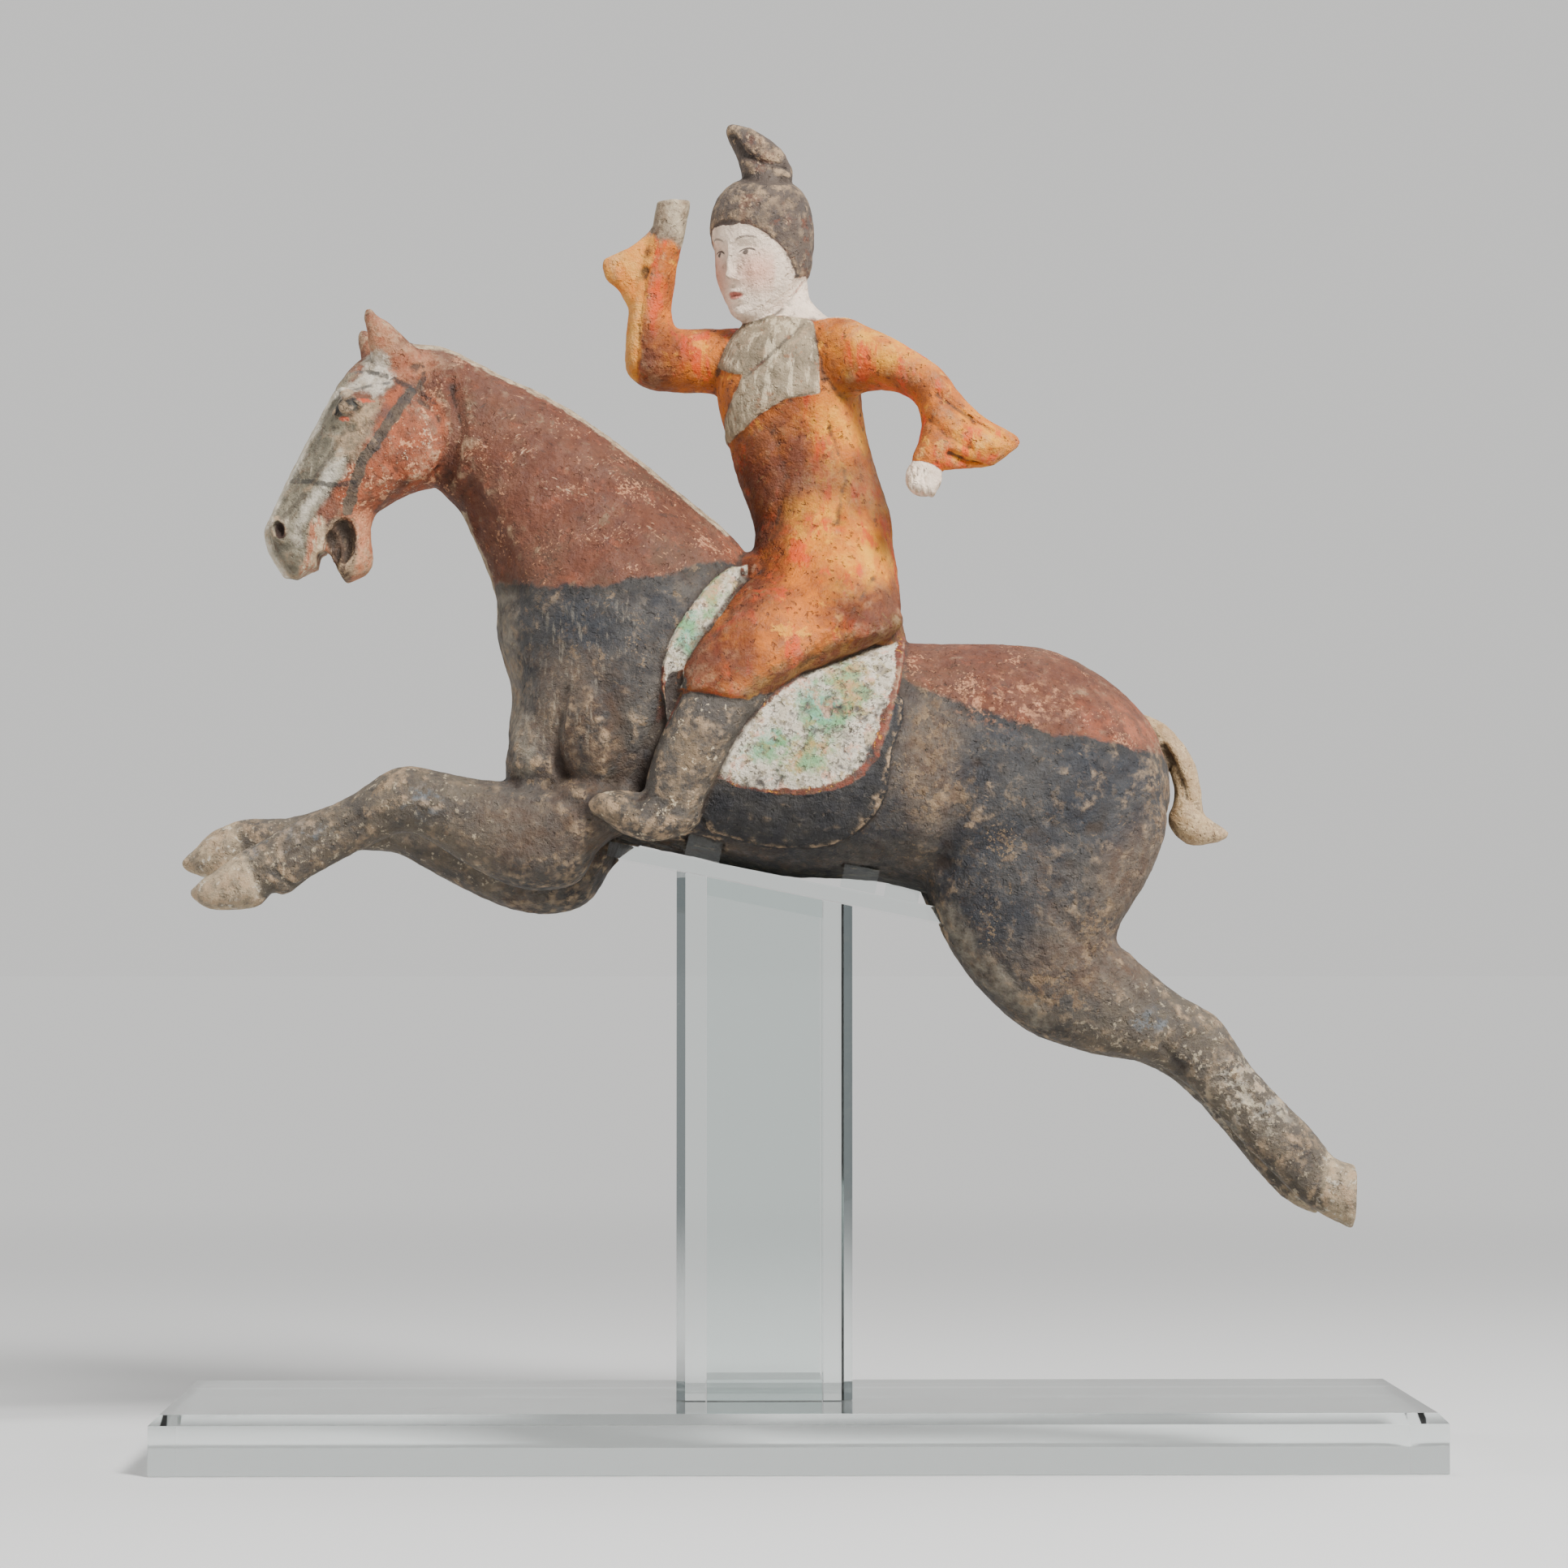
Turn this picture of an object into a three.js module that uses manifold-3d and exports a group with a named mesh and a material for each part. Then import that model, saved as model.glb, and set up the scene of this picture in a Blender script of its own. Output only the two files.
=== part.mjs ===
// A pottery horse in a flying gallop with its rider, held on a clear acrylic stand.
// Millimetres. X runs from the horse's head to its tail, Y from its left flank to its
// right, Z up. The origin is the middle of the base plate's underside.

import * as THREE from 'three';
import { LoftGeometry } from 'three/addons/geometries/LoftGeometry.js';
import { mergeVertices } from 'three/addons/utils/BufferGeometryUtils.js';
import Module from 'manifold-3d';

const wasm = await Module();
wasm.setup();

// Stand
const BASE = { length: 430, depth: 140, height: 20, bevel: 3.4 };
const COLUMN = { middleX: -11, width: 60, depth: 40, wall: 10, panel: 5, bevel: 3 };
const CRADLE = { x: -6, z: 198.7, length: 118, depth: 50, thickness: 5, tilt: 11.3 };
const FOOT_BLOCK_HEIGHT = 6.7;
const HEAD_BLOCK_THICKNESS = 6;
const CLEAT = { length: 12, height: 8, thickness: 3 };
const CLEAT_PLACES = [
  { name: 'cleat_front_left', along: -27, side: -1 },
  { name: 'cleat_rear_left', along: 27, side: -1 },
  { name: 'cleat_front_right', along: -15, side: 1 },
  { name: 'cleat_rear_right', along: 44, side: 1 },
];
const GAP = 0.3;

// Every form of the figure is a loft through a few chords across it. A chord is
// [x, z of its upper or outer end, x, z of its lower or inner end, half width, y].
const TRUNK = [
  [-134, 383, -127, 335, 14, 0],
  [-120, 381, -123, 332, 17, 0],
  [-104, 373, -120, 329, 20, 0],
  [-85, 364, -116, 325, 23, 0],
  [-69, 354, -111, 315, 26, 0],
  [-52, 341, -106, 303, 30, 0],
  [-36, 328, -103, 293, 34, 0],
  [-24, 318, -103, 281, 38, 0],
  [-15, 308, -98, 263, 41, 0],
  [-8, 301, -99, 246, 43, 0],
  [-3, 295, -94, 231, 43, 0],
  [6, 290, -64, 213, 42, 0],
  [15, 284, -34, 205, 42, 0],
  [28, 281, -6, 199, 43, 0],
  [45, 279, 28, 197, 44, 0],
  [67, 279, 53, 191, 45, 0],
  [87, 277, 77, 188, 44, 0],
  [104, 269, 98, 190, 43, 0],
  [116, 259, 112, 197, 38, 0],
  [123, 250, 121, 209, 31, 0],
  [128, 238, 128, 221, 16, 0],
];
const HORSE_HEAD = [
  [-124, 379, -116, 344, 10, 0],
  [-137, 384, -119, 339, 14, 0],
  [-149, 378, -122, 334, 17, -1],
  [-158, 368, -132, 331, 19, -2],
  [-168, 349, -143, 325, 16, -4],
  [-175, 335, -146, 320, 13, -5],
  [-181, 322, -146, 313, 12.5, -6],
  [-183, 316, -145.5, 307, 12, -6.5],
  [-181, 309, -148, 302, 11, -7],
  [-176, 301, -155, 299, 7, -7],
];
const NEAR_EAR = [
  [-141, 370, -127, 376, 5, -7],
  [-144, 381, -136, 384, 5.5, -9],
  [-146, 387, -141, 389, 4, -10],
  [-148, 391, -145, 391, 2.5, -10.5],
  [-147.5, 393.5, -146.5, 393.5, 1, -11],
];
const FAR_EAR = [
  [-146, 372, -135, 377, 5, 7],
  [-150, 382, -143, 385, 5, 9],
  [-152, 386, -147, 388, 3.5, 10],
  [-152, 390, -150.5, 390, 1.2, 11],
];
const NEAR_FORELEG = [
  [-53, 237, -50, 217, 14, -24],
  [-72, 234, -66, 209, 18, -24],
  [-89, 231, -75, 196, 18, -22],
  [-103, 231, -92, 194, 16.5, -22],
  [-117, 233, -110, 201, 14.5, -22],
  [-132, 236, -126, 211, 12.5, -22],
  [-140, 234, -135, 213, 12, -22],
  [-150, 227, -145, 209, 10, -21],
  [-162, 221, -157, 203, 8.5, -20],
  [-175, 215, -167, 197, 9, -19],
  [-183, 210, -174, 192, 9.5, -19],
  [-189, 207, -179, 193, 9, -19],
  [-196, 202, -184, 188, 11, -19],
  [-204, 196, -198, 187, 9.5, -19],
  [-207, 193, -205, 190, 4, -19],
];
const FAR_FORELEG = [
  [-53, 232, -51, 212, 14, 24],
  [-73, 226, -63, 203, 18, 24],
  [-89, 225, -73, 189, 18, 22],
  [-104, 225, -93, 186, 16.5, 22],
  [-121, 229, -114, 194, 14.5, 22],
  [-136, 231, -129, 202, 12.5, 22],
  [-144, 230, -139, 207, 12, 22],
  [-155, 226, -151, 208, 10, 21],
  [-170, 221, -166, 206, 8.5, 20],
  [-179, 219, -176, 204, 9, 19],
  [-188, 219, -182, 201, 9.5, 19],
  [-195, 218, -189, 200, 9, 19],
  [-203, 214, -196, 196, 11, 19],
  [-209, 208, -204, 198, 9, 19],
  [-213.5, 204, -212, 201, 4, 19],
];
const NEAR_HIND_LEG = [
  [108, 246, 51, 222, 18, -19],
  [126, 223, 43, 202, 23, -21],
  [121, 200, 48, 183, 24, -21],
  [109, 179, 59, 164, 21, -21],
  [115, 171, 78, 146, 17, -20],
  [129, 159, 101, 138, 13.5, -19],
  [138, 154, 119, 135, 12, -19],
  [145, 149, 128, 131, 10.5, -18],
  [155, 134, 139, 122, 9, -18],
  [166, 122, 152, 108, 9, -17],
  [174, 114, 162, 98, 10, -17],
  [180, 107, 170, 90, 9, -17],
  [184, 102, 178, 84, 10, -17],
  [191, 100, 190, 78, 11, -17],
];
const FAR_HIND_LEG = [
  [110, 246, 52, 220, 18, 19],
  [130, 223, 43, 199, 23, 21],
  [124, 200, 50, 182, 24, 21],
  [109, 179, 61, 164, 21, 21],
  [112, 169, 77, 149, 17, 20],
  [126, 157, 98, 140, 13.5, 19],
  [136, 151, 118, 135, 12, 19],
  [142, 145, 131, 129, 10.5, 18],
  [152, 131, 140, 121, 9, 18],
  [162, 118, 151, 109, 9, 17],
  [170, 111, 161, 97, 10, 17],
  [176, 105, 169, 88, 9, 17],
  [179, 101, 175, 84, 10, 17],
  [185, 99, 182, 81, 10.5, 17],
];
const TAIL = [
  [117, 256, 122, 244, 5, 0],
  [128, 251, 127, 241, 6.5, 0],
  [137, 240, 130, 233, 7, 0],
  [140, 230, 131, 226, 7, 0],
  [141, 221, 129, 217, 7.5, 0],
  [144, 218, 135, 210, 6.5, 0],
  [147, 216, 144, 210, 4.5, 0],
  [150, 214, 149, 212, 1.5, 0],
];
const TORSO = [
  [-22, 280, 39, 277, 31, 0],
  [-18, 300, 36, 291, 29, 0],
  [-14, 314, 34, 308, 25, 0],
  [-15, 322, 33, 322, 23, 0],
  [-19, 333, 29, 336, 21, 0],
  [-23, 347, 25, 350, 21, 0],
  [-27, 363, 23, 363, 22, 0],
  [-27, 372, 22, 375, 21, 0],
  [-23, 382, 18, 386, 17, -1],
  [-18, 389, 11, 392, 12, -1],
  [-14, 392, 5, 398, 9, -2],
  [-13, 400, 4, 406, 8.5, -2],
];
const BUN = [
  [-17, 434, -2, 433, 7, -2],
  [-19, 443, -1, 442, 9.5, -2],
  [-21, 449, -2.5, 446, 9, -2],
  [-23.5, 454, -5, 450, 7.5, -2],
  [-24, 457, -11, 455, 5.5, -2],
  [-23, 459, -18, 458, 2.5, -2],
];
const NEAR_ARM = [
  [-5, 388, -1, 363, 9, -2],
  [14, 391, 18, 363, 13, -13],
  [26, 386, 25, 365, 12, -18],
  [38, 379, 33, 364, 11, -24],
  [49, 371, 40, 360, 10.5, -29],
  [56, 361, 42, 353, 10, -33],
  [63, 354, 41, 346, 9, -36],
  [73, 348, 39, 341, 8, -39],
  [75, 344, 39, 338, 6.5, -40],
  [66, 337, 45, 335, 3, -40],
];
const FAR_ARM = [
  [-15, 362, -14, 389, 13, 4],
  [-28, 366, -28, 389, 12, 7],
  [-41, 367, -40, 389, 11.5, 8],
  [-51, 368, -42, 390, 11, 7],
  [-58, 373, -43, 396, 10.5, 6],
  [-59, 381, -42, 403, 10.5, 5],
  [-58, 394, -41, 411, 10, 4],
  [-54, 408, -39, 419, 9, 3],
  [-50, 422, -38, 424, 7.5, 3],
  [-49, 428, -37, 429, 7, 3],
  [-48, 433, -36, 433, 6.5, 3],
];
const FAR_CUFF = [
  [-46, 428, -52, 380, 5, 3],
  [-52, 421, -57, 392, 5, 2],
  [-57, 417, -61, 401, 4.5, 1],
  [-63, 414, -65, 404.5, 3.5, 0],
  [-66.5, 412.5, -67, 409, 2, 0],
];
const THIGH = [
  [-6, 306, 34, 285, 14, -18],
  [-19, 297, 31, 281, 14, -28],
  [-28, 286, 15, 272, 13, -35],
  [-35, 275, -1, 261, 12, -39.5],
  [-41, 264, -12, 253, 11.5, -42],
  [-42, 261, -14, 251, 8, -42],
];
const SHIN = [
  [-36, 272, -8, 262, 9, -39],
  [-41, 262, -15, 253, 10, -41],
  [-44, 253, -21, 245, 10, -43],
  [-49, 239, -26, 235, 9.5, -43.5],
  [-52, 227, -31, 225, 9, -43],
  [-54, 217, -34, 216, 7.5, -42],
];
const BOOT = [
  [-33, 222, -33, 216, 5, -41],
  [-40, 225, -39, 212, 8, -42],
  [-50, 226, -49, 210, 8.5, -43],
  [-60, 227, -58, 212, 8, -43],
  [-67, 226, -64, 216, 6.5, -42.5],
  [-71, 223, -70, 220, 3, -42],
];

// Outlines of what lies on the horse and the rider, as [x, z]
const CLOTH_OUTLINE = [
  [-24, 305], [-36, 290], [-43, 277], [-46, 264], [-44, 247], [-28, 232], [-12, 226.5],
  [4, 226], [19, 230], [27, 239], [32, 255], [37, 277], [37, 318], [-19, 314],
];
const FLAP_OUTLINE = [
  [-31, 262], [-32, 219], [-23, 211.5], [-6, 208], [10, 208.5], [21, 214.5], [28.5, 224],
  [31, 239], [31, 262],
];
const COLLAR_OUTLINE = [
  [-21, 393], [-34, 381], [-27, 358], [-25, 347], [-19, 352], [-10, 361], [-1, 366],
  [9, 368], [6, 388], [2, 393], [-14, 392],
];
const CLOTH_THICKNESS = 2.4;
const FLAP_THICKNESS = 2;
const COLLAR_THICKNESS = 0.9;

// The horse's open mouth: the gap between its lips, as [x, z], and the hollows of its cheeks
const MOUTH_GAP = [
  [-172.5, 300], [-168, 303], [-164.5, 304.5], [-164, 309], [-161, 310], [-159, 307.5],
  [-157, 303], [-154.5, 299], [-156, 292], [-170, 292],
];
const MOUTH_HOLLOW = { x: -156, z: 312, radii: [5.4, 9, 9.8], lean: 18 };

// The rider's head, level by level from under the chin: [height, front, back, half width]
const RIDER_HEAD = [
  [-25, 8, -4, 5],
  [-22, 14, -9, 8.5],
  [-15, 16, -13, 13],
  [-8, 16.5, -16, 15.5],
  [1, 16, -18.5, 16.5],
  [9, 16, -19, 16.5],
  [16, 13.5, -17.5, 15],
  [21, 9, -13, 11],
  [24, 2, -6, 5],
];
const RIDER_HEAD_PLACE = { x: -12, y: -4, z: 415, turn: 228, nod: 10 };
const HEAD_SIDES = 14;
const HAIR_SCALE = 1.07;

const MATERIALS = {
  pottery: new THREE.MeshStandardMaterial({ color: 0x7d5238, roughness: 0.85, metalness: 0 }),
  acrylic: new THREE.MeshStandardMaterial({
    color: 0xe8eef0, roughness: 0.05, metalness: 0, transparent: true, opacity: 0.35,
  }),
};

function toSolid(geometry) {
  const bare = new THREE.BufferGeometry().copy(geometry);
  bare.deleteAttribute('normal');
  bare.deleteAttribute('uv');
  const merged = mergeVertices(bare, 1e-4);
  return new wasm.Manifold(new wasm.Mesh({
    numProp: 3,
    vertProperties: new Float32Array(merged.attributes.position.array),
    triVerts: new Uint32Array(merged.index.array),
  }));
}

function toGeometry(solid) {
  const mesh = solid.getMesh();
  const geometry = new THREE.BufferGeometry();
  geometry.setAttribute('position', new THREE.BufferAttribute(mesh.vertProperties, 3));
  geometry.setIndex(new THREE.BufferAttribute(mesh.triVerts, 1));
  return geometry;
}

function join(solids) {
  return solids.reduce((whole, solid) => whole.add(solid));
}

function curveThrough(points) {
  return new THREE.CatmullRomCurve3(points, false, 'catmullrom', 0.5);
}

// A superellipse: power 2 is an ellipse, and more is squarer.
function squared(value, power) {
  return Math.sign(value) * Math.abs(value) ** (2 / power);
}

// One section of a limb, with the chord as its height and Y as its width.
function section(upper, lower, halfWidth, { sides, power, topHeavy, side }) {
  const middle = upper.clone().add(lower).multiplyScalar(0.5);
  const reach = upper.clone().sub(lower).multiplyScalar(0.5);
  const points = [];
  for (let i = 0; i < sides; i++) {
    const angle = (i / sides) * 2 * Math.PI;
    const up = squared(Math.cos(angle), power);
    const out = squared(Math.sin(angle), power) * (1 + topHeavy * up);
    const point = middle.clone().addScaledVector(reach, up);
    point.y += side * out * halfWidth;
    points.push(point);
  }
  return points;
}

// A solid through the chords, with the given number of rings to each span.
function limb(chords, { sides = 10, rings = 1, power = 2.2, topHeavy = 0 } = {}) {
  const upper = curveThrough(chords.map(([x, z, , , , y]) => new THREE.Vector3(x, y, z)));
  const lower = curveThrough(chords.map(([, , x, z, , y]) => new THREE.Vector3(x, y, z)));
  const width = curveThrough(chords.map(([, , , , w], i) => new THREE.Vector3(w, 0, i)));
  const steps = (chords.length - 1) * rings;
  const middleAt = (t) => upper.getPoint(t).add(lower.getPoint(t)).multiplyScalar(0.5);
  const travel = middleAt(1 / steps).sub(middleAt(0));
  const chord = upper.getPoint(0).sub(lower.getPoint(0));
  const side = Math.sign(chord.cross(new THREE.Vector3(0, 1, 0)).dot(travel));
  const sections = [];
  for (let i = 0; i <= steps; i++) {
    const t = i / steps;
    const shape = { sides, power, topHeavy, side };
    sections.push(section(upper.getPoint(t), lower.getPoint(t), width.getPoint(t).x, shape));
  }
  const options = { closed: true, capStart: true, capEnd: true };
  return toSolid(new LoftGeometry(sections, options));
}

// The same chords, moved outwards all round.
function thicker(chords, extra) {
  return chords.map(([x1, z1, x2, z2, halfWidth, y]) => {
    const length = Math.hypot(x1 - x2, z1 - z2);
    const dx = ((x1 - x2) / length) * extra;
    const dz = ((z1 - z2) / length) * extra;
    return [x1 + dx, z1 + dz, x2 - dx, z2 - dz, halfWidth + extra, y];
  });
}

function otherSide(chords) {
  return chords.map(([x1, z1, x2, z2, halfWidth, y]) => [x1, z1, x2, z2, halfWidth, -y]);
}

// An ellipsoid, leaned about Y by so many degrees.
function bump([x, y, z], radii, lean = 0, around = 12) {
  const ball = new THREE.SphereGeometry(1, around, Math.round(around * 0.7));
  ball.scale(...radii);
  ball.rotateY(THREE.MathUtils.degToRad(lean));
  ball.translate(x, y, z);
  return toSolid(ball);
}

// A slab with an [x, z] outline that runs from one y to another.
function slab(outline, fromY, toY) {
  const shape = new THREE.Shape(outline.map(([x, z]) => new THREE.Vector2(x, z)));
  const geometry = new THREE.ExtrudeGeometry(shape, { depth: toY - fromY, bevelEnabled: false });
  geometry.rotateX(Math.PI / 2);
  geometry.translate(0, toY, 0);
  return toSolid(geometry);
}

// A box with its edges bevelled where the two rectangles differ, standing on z 0.
function block(width, depth, height, topInset = 0, insetHeight = 0) {
  const corners = (inset, z) => [[-1, -1], [1, -1], [1, 1], [-1, 1]].map(
    ([sx, sy]) => new THREE.Vector3(sx * (width / 2 - inset), sy * (depth / 2 - inset), z),
  );
  const levels = [corners(0, 0), corners(0, height - insetHeight)];
  if (insetHeight > 0) levels.push(corners(topInset, height));
  return new LoftGeometry(levels, { closed: true, capStart: true, capEnd: true });
}

// The horse

function horseHead() {
  const { x, z, radii, lean } = MOUTH_HOLLOW;
  const cheeks = [-17, 12].map((y) => bump([-133, y, 347], [12.5, 3.8, 13.5], 0, 9));
  const brows = [-16, 9].map((y) => bump([-152, y, 362], [6, 4.2, 2.4], 35, 8));
  const rims = [-16, 2].map((y) => bump([-177, y, 317], [3.6, 3, 5.4], -20, 8));
  const eyes = [-18.3, 13.3].map((y) => bump([-153.5, y, 358.5], [3, 2.6, 2.6], 0, 8));
  const hollows = [-20, 6].map((y) => bump([x, y, z], radii, lean, 9));
  const nostrils = [-19, 5].map((y) => bump([-177, y, 317], [1.8, 3.4, 3.4], -20, 8));
  return limb(HORSE_HEAD, { sides: 12, rings: 2, topHeavy: -0.12 })
    .add(join([...cheeks, ...brows, ...rims]))
    .add(join([limb(NEAR_EAR, { sides: 7 }), limb(FAR_EAR, { sides: 7 })]))
    .subtract(join([...hollows, ...nostrils]))
    .subtract(slab(MOUTH_GAP, -30, 20))
    .add(join(eyes));
}

// Muscles that stand out on the shoulders and the breast
function horseMuscles() {
  return join([-1, 1].flatMap((side) => [
    bump([-67, side * 28, 252], [18, 16.5, 29], -12, 9),
    bump([-86, side * 18, 240], [13, 17, 26], 8, 9),
  ]));
}

function horse() {
  const legs = [NEAR_FORELEG, FAR_FORELEG, NEAR_HIND_LEG, FAR_HIND_LEG];
  return limb(TRUNK, { sides: 20, topHeavy: -0.14 })
    .add(horseMuscles())
    .add(horseHead())
    .add(join(legs.map((chords) => limb(chords))))
    .add(limb(TAIL, { sides: 8 }));
}

function saddleCloth() {
  const over = (thickness) => limb(
    thicker(TRUNK.slice(7, 18), thickness), { sides: 20, topHeavy: -0.14 },
  );
  const cloth = over(CLOTH_THICKNESS).intersect(slab(CLOTH_OUTLINE, -60, 60));
  const flap = over(FLAP_THICKNESS).intersect(slab(FLAP_OUTLINE, -60, 60));
  return cloth.add(flap);
}

// The rider

// The head stands level by level in its own frame, looking along +X, before it is turned.
function headLevels(scale) {
  return RIDER_HEAD.map(([height, front, back, halfWidth]) => {
    const points = [];
    for (let i = 0; i < HEAD_SIDES; i++) {
      const angle = (i / HEAD_SIDES) * 2 * Math.PI;
      const x = (front + back) / 2 + ((front - back) / 2) * Math.cos(angle);
      const y = halfWidth * Math.sin(angle);
      points.push(new THREE.Vector3(x * scale, y * scale, height * scale));
    }
    return points;
  });
}

function riderHead() {
  const options = { closed: true, capStart: true, capEnd: true };
  const skull = toSolid(new LoftGeometry(headLevels(1), options));
  const hair = toSolid(new LoftGeometry(headLevels(HAIR_SCALE), options))
    .subtract(bump([22, 0, -9], [24, 16.5, 21], 0, 14))
    .subtract(bump([2, 0, -34], [32, 32, 27], 0, 12));
  const eyes = [-1, 1].map((side) => bump([14.6, side * 6, 0.5], [1.9, 3.2, 1.4], 0, 8));
  const sockets = [-1, 1].map((side) => bump([17.4, side * 6, 1], [2.4, 4, 2.6], 0, 8));
  const nose = bump([16, 0, -4.5], [2.6, 2.2, 5.4], -8, 8);
  const lips = bump([15.6, 0, -13.4], [1.8, 3.4, 1.5], 0, 8);
  const chin = bump([13.4, 0, -20], [2.8, 4, 3.2], 0, 8);
  const { x, y, z, turn, nod } = RIDER_HEAD_PLACE;
  return skull.subtract(join(sockets))
    .add(join([hair, ...eyes, nose, lips, chin]))
    .rotate([0, nod, 0])
    .rotate([0, 0, turn])
    .translate([x, y, z]);
}

// The closed left hand, with its four fingers folded
function leftHand() {
  const fingers = [0, 1, 2, 3].map(
    (i) => bump([38.5 + 2.4 * i, -44 + 0.5 * i, 332 - 0.8 * i], [1.6, 3, 3.8], 12, 6),
  );
  return bump([42.5, -40, 333], [6.2, 5.6, 6.4], 0, 8).add(join(fingers));
}

// Folds of the robe over the near shoulder and along the hanging sleeve
function robeFolds() {
  const folds = [
    [[44, 372, 46, 369, 1.5, -37], [56, 357, 59, 353, 2, -42], [68, 349, 70, 346, 1.5, -44]],
    [[20, 372, 22, 369, 1.5, -23], [30, 371, 31, 368, 2, -31], [38, 368, 39, 366, 1, -34]],
  ];
  return join(folds.map((chords) => limb(chords, { sides: 6, rings: 2 })));
}

function rider() {
  const leg = (chords, options) => limb(chords, options).add(limb(otherSide(chords), options));
  const collar = limb(thicker(TORSO, COLLAR_THICKNESS), { sides: 16 })
    .intersect(slab(COLLAR_OUTLINE, -40, -1));
  return limb(TORSO, { sides: 16 })
    .add(collar)
    .add(leg(THIGH, { sides: 12 }))
    .add(leg(SHIN))
    .add(leg(BOOT))
    .add(robeFolds())
    .add(join([limb(NEAR_ARM), limb(FAR_ARM), limb(FAR_CUFF, { sides: 8 })]))
    .add(leftHand())
    .add(riderHead())
    .add(limb(BUN));
}

// The stand

// A height on the cradle's slope, measured from its top face.
function cradleHeight(x, below = 0) {
  const slope = THREE.MathUtils.degToRad(CRADLE.tilt);
  return CRADLE.z - (x - CRADLE.x) * Math.tan(slope) - below / Math.cos(slope);
}

// Puts a solid that lies on the level at the origin on to the cradle's slope.
function ontoCradle(solid) {
  return solid.rotate([0, CRADLE.tilt, 0]).translate([CRADLE.x, 0, CRADLE.z]);
}

function cradlePlate(extra = 0) {
  const { length, depth, thickness } = CRADLE;
  const plate = block(length + 2 * extra, depth + 2 * extra, thickness + 2 * extra);
  return ontoCradle(toSolid(plate).translate([0, 0, -thickness - extra]));
}

function cleat({ along, side }, extra = 0) {
  const y = side * (CRADLE.depth / 2 - CLEAT.thickness / 2);
  const tab = block(CLEAT.length + 2 * extra, CLEAT.thickness + 2 * extra, CLEAT.height + extra);
  return ontoCradle(toSolid(tab).translate([along, y, extra > 0 ? 0 : GAP]));
}

// An upright wall between two x and two y, cut off at its top along the cradle's slope.
function wall(fromX, toX, fromY, toY, bevelX = 0) {
  const top = CRADLE.thickness + GAP;
  const foot = BASE.height + GAP;
  const outline = [
    [fromX, foot], [toX, foot], [toX, cradleHeight(toX, top)], [fromX, cradleHeight(fromX, top)],
  ];
  const upright = slab(outline, fromY, toY);
  if (bevelX === 0) return upright;
  const reach = COLUMN.bevel * Math.SQRT2;
  const corners = [fromY, toY].map((y) => {
    const cutter = toSolid(block(reach, reach, 2 * CRADLE.z));
    return cutter.rotate([0, 0, 45]).translate([bevelX, y, 0]);
  });
  return upright.subtract(join(corners));
}

function columnWalls() {
  const left = COLUMN.middleX - COLUMN.width / 2;
  const right = COLUMN.middleX + COLUMN.width / 2;
  const half = COLUMN.depth / 2;
  const innerLeft = left + COLUMN.wall + GAP;
  const innerRight = right - COLUMN.wall - GAP;
  return {
    column_left: wall(left, left + COLUMN.wall, -half, half, left),
    column_right: wall(right - COLUMN.wall, right, -half, half, right),
    column_front: wall(innerLeft, innerRight, -half, -half + COLUMN.panel),
    column_back: wall(innerLeft, innerRight, half - COLUMN.panel, half),
  };
}

// The blocks that close the hollow column at its foot and under the cradle
function columnBlocks() {
  const width = COLUMN.width - 2 * COLUMN.wall - 2 * GAP;
  const depth = COLUMN.depth - 2 * COLUMN.panel - 2 * GAP;
  const foot = toSolid(block(width, depth, FOOT_BLOCK_HEIGHT));
  const fromX = COLUMN.middleX - width / 2;
  const toX = COLUMN.middleX + width / 2;
  const top = CRADLE.thickness + GAP;
  const under = top + HEAD_BLOCK_THICKNESS;
  const headOutline = [
    [fromX, cradleHeight(fromX, under)], [toX, cradleHeight(toX, under)],
    [toX, cradleHeight(toX, top)], [fromX, cradleHeight(fromX, top)],
  ];
  return {
    column_foot: foot.translate([COLUMN.middleX, 0, BASE.height + GAP]),
    column_head: slab(headOutline, -depth / 2, depth / 2),
  };
}

function basePlate() {
  const { length, depth, height, bevel } = BASE;
  return toSolid(block(length, depth, height, bevel, bevel));
}

// The pottery is bedded on the cradle and held by the cleats, clear of both by the gap.
function horseAndRider() {
  const clearances = CLEAT_PLACES.map((place) => cleat(place, GAP));
  return join([horse(), saddleCloth(), rider()])
    .subtract(cradlePlate(GAP))
    .subtract(join(clearances));
}

function named(name, solid, material) {
  const mesh = new THREE.Mesh(toGeometry(solid), material);
  mesh.name = name;
  return mesh;
}

const model = new THREE.Group();
model.add(named('horse_and_rider', horseAndRider(), MATERIALS.pottery));
model.add(named('base_plate', basePlate(), MATERIALS.acrylic));
for (const [name, solid] of Object.entries({ ...columnWalls(), ...columnBlocks() })) {
  model.add(named(name, solid, MATERIALS.acrylic));
}
model.add(named('cradle_plate', cradlePlate(), MATERIALS.acrylic));
for (const place of CLEAT_PLACES) {
  model.add(named(place.name, cleat(place), MATERIALS.acrylic));
}

export default model;
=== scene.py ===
# A painted pottery horse with its rider, on a clear acrylic stand.
# Shapes are given in millimetres, with x along the horse, y across it and z up.
import math

import bpy
import numpy as np
from mathutils import Matrix, Vector
from mathutils.bvhtree import BVHTree


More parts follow.
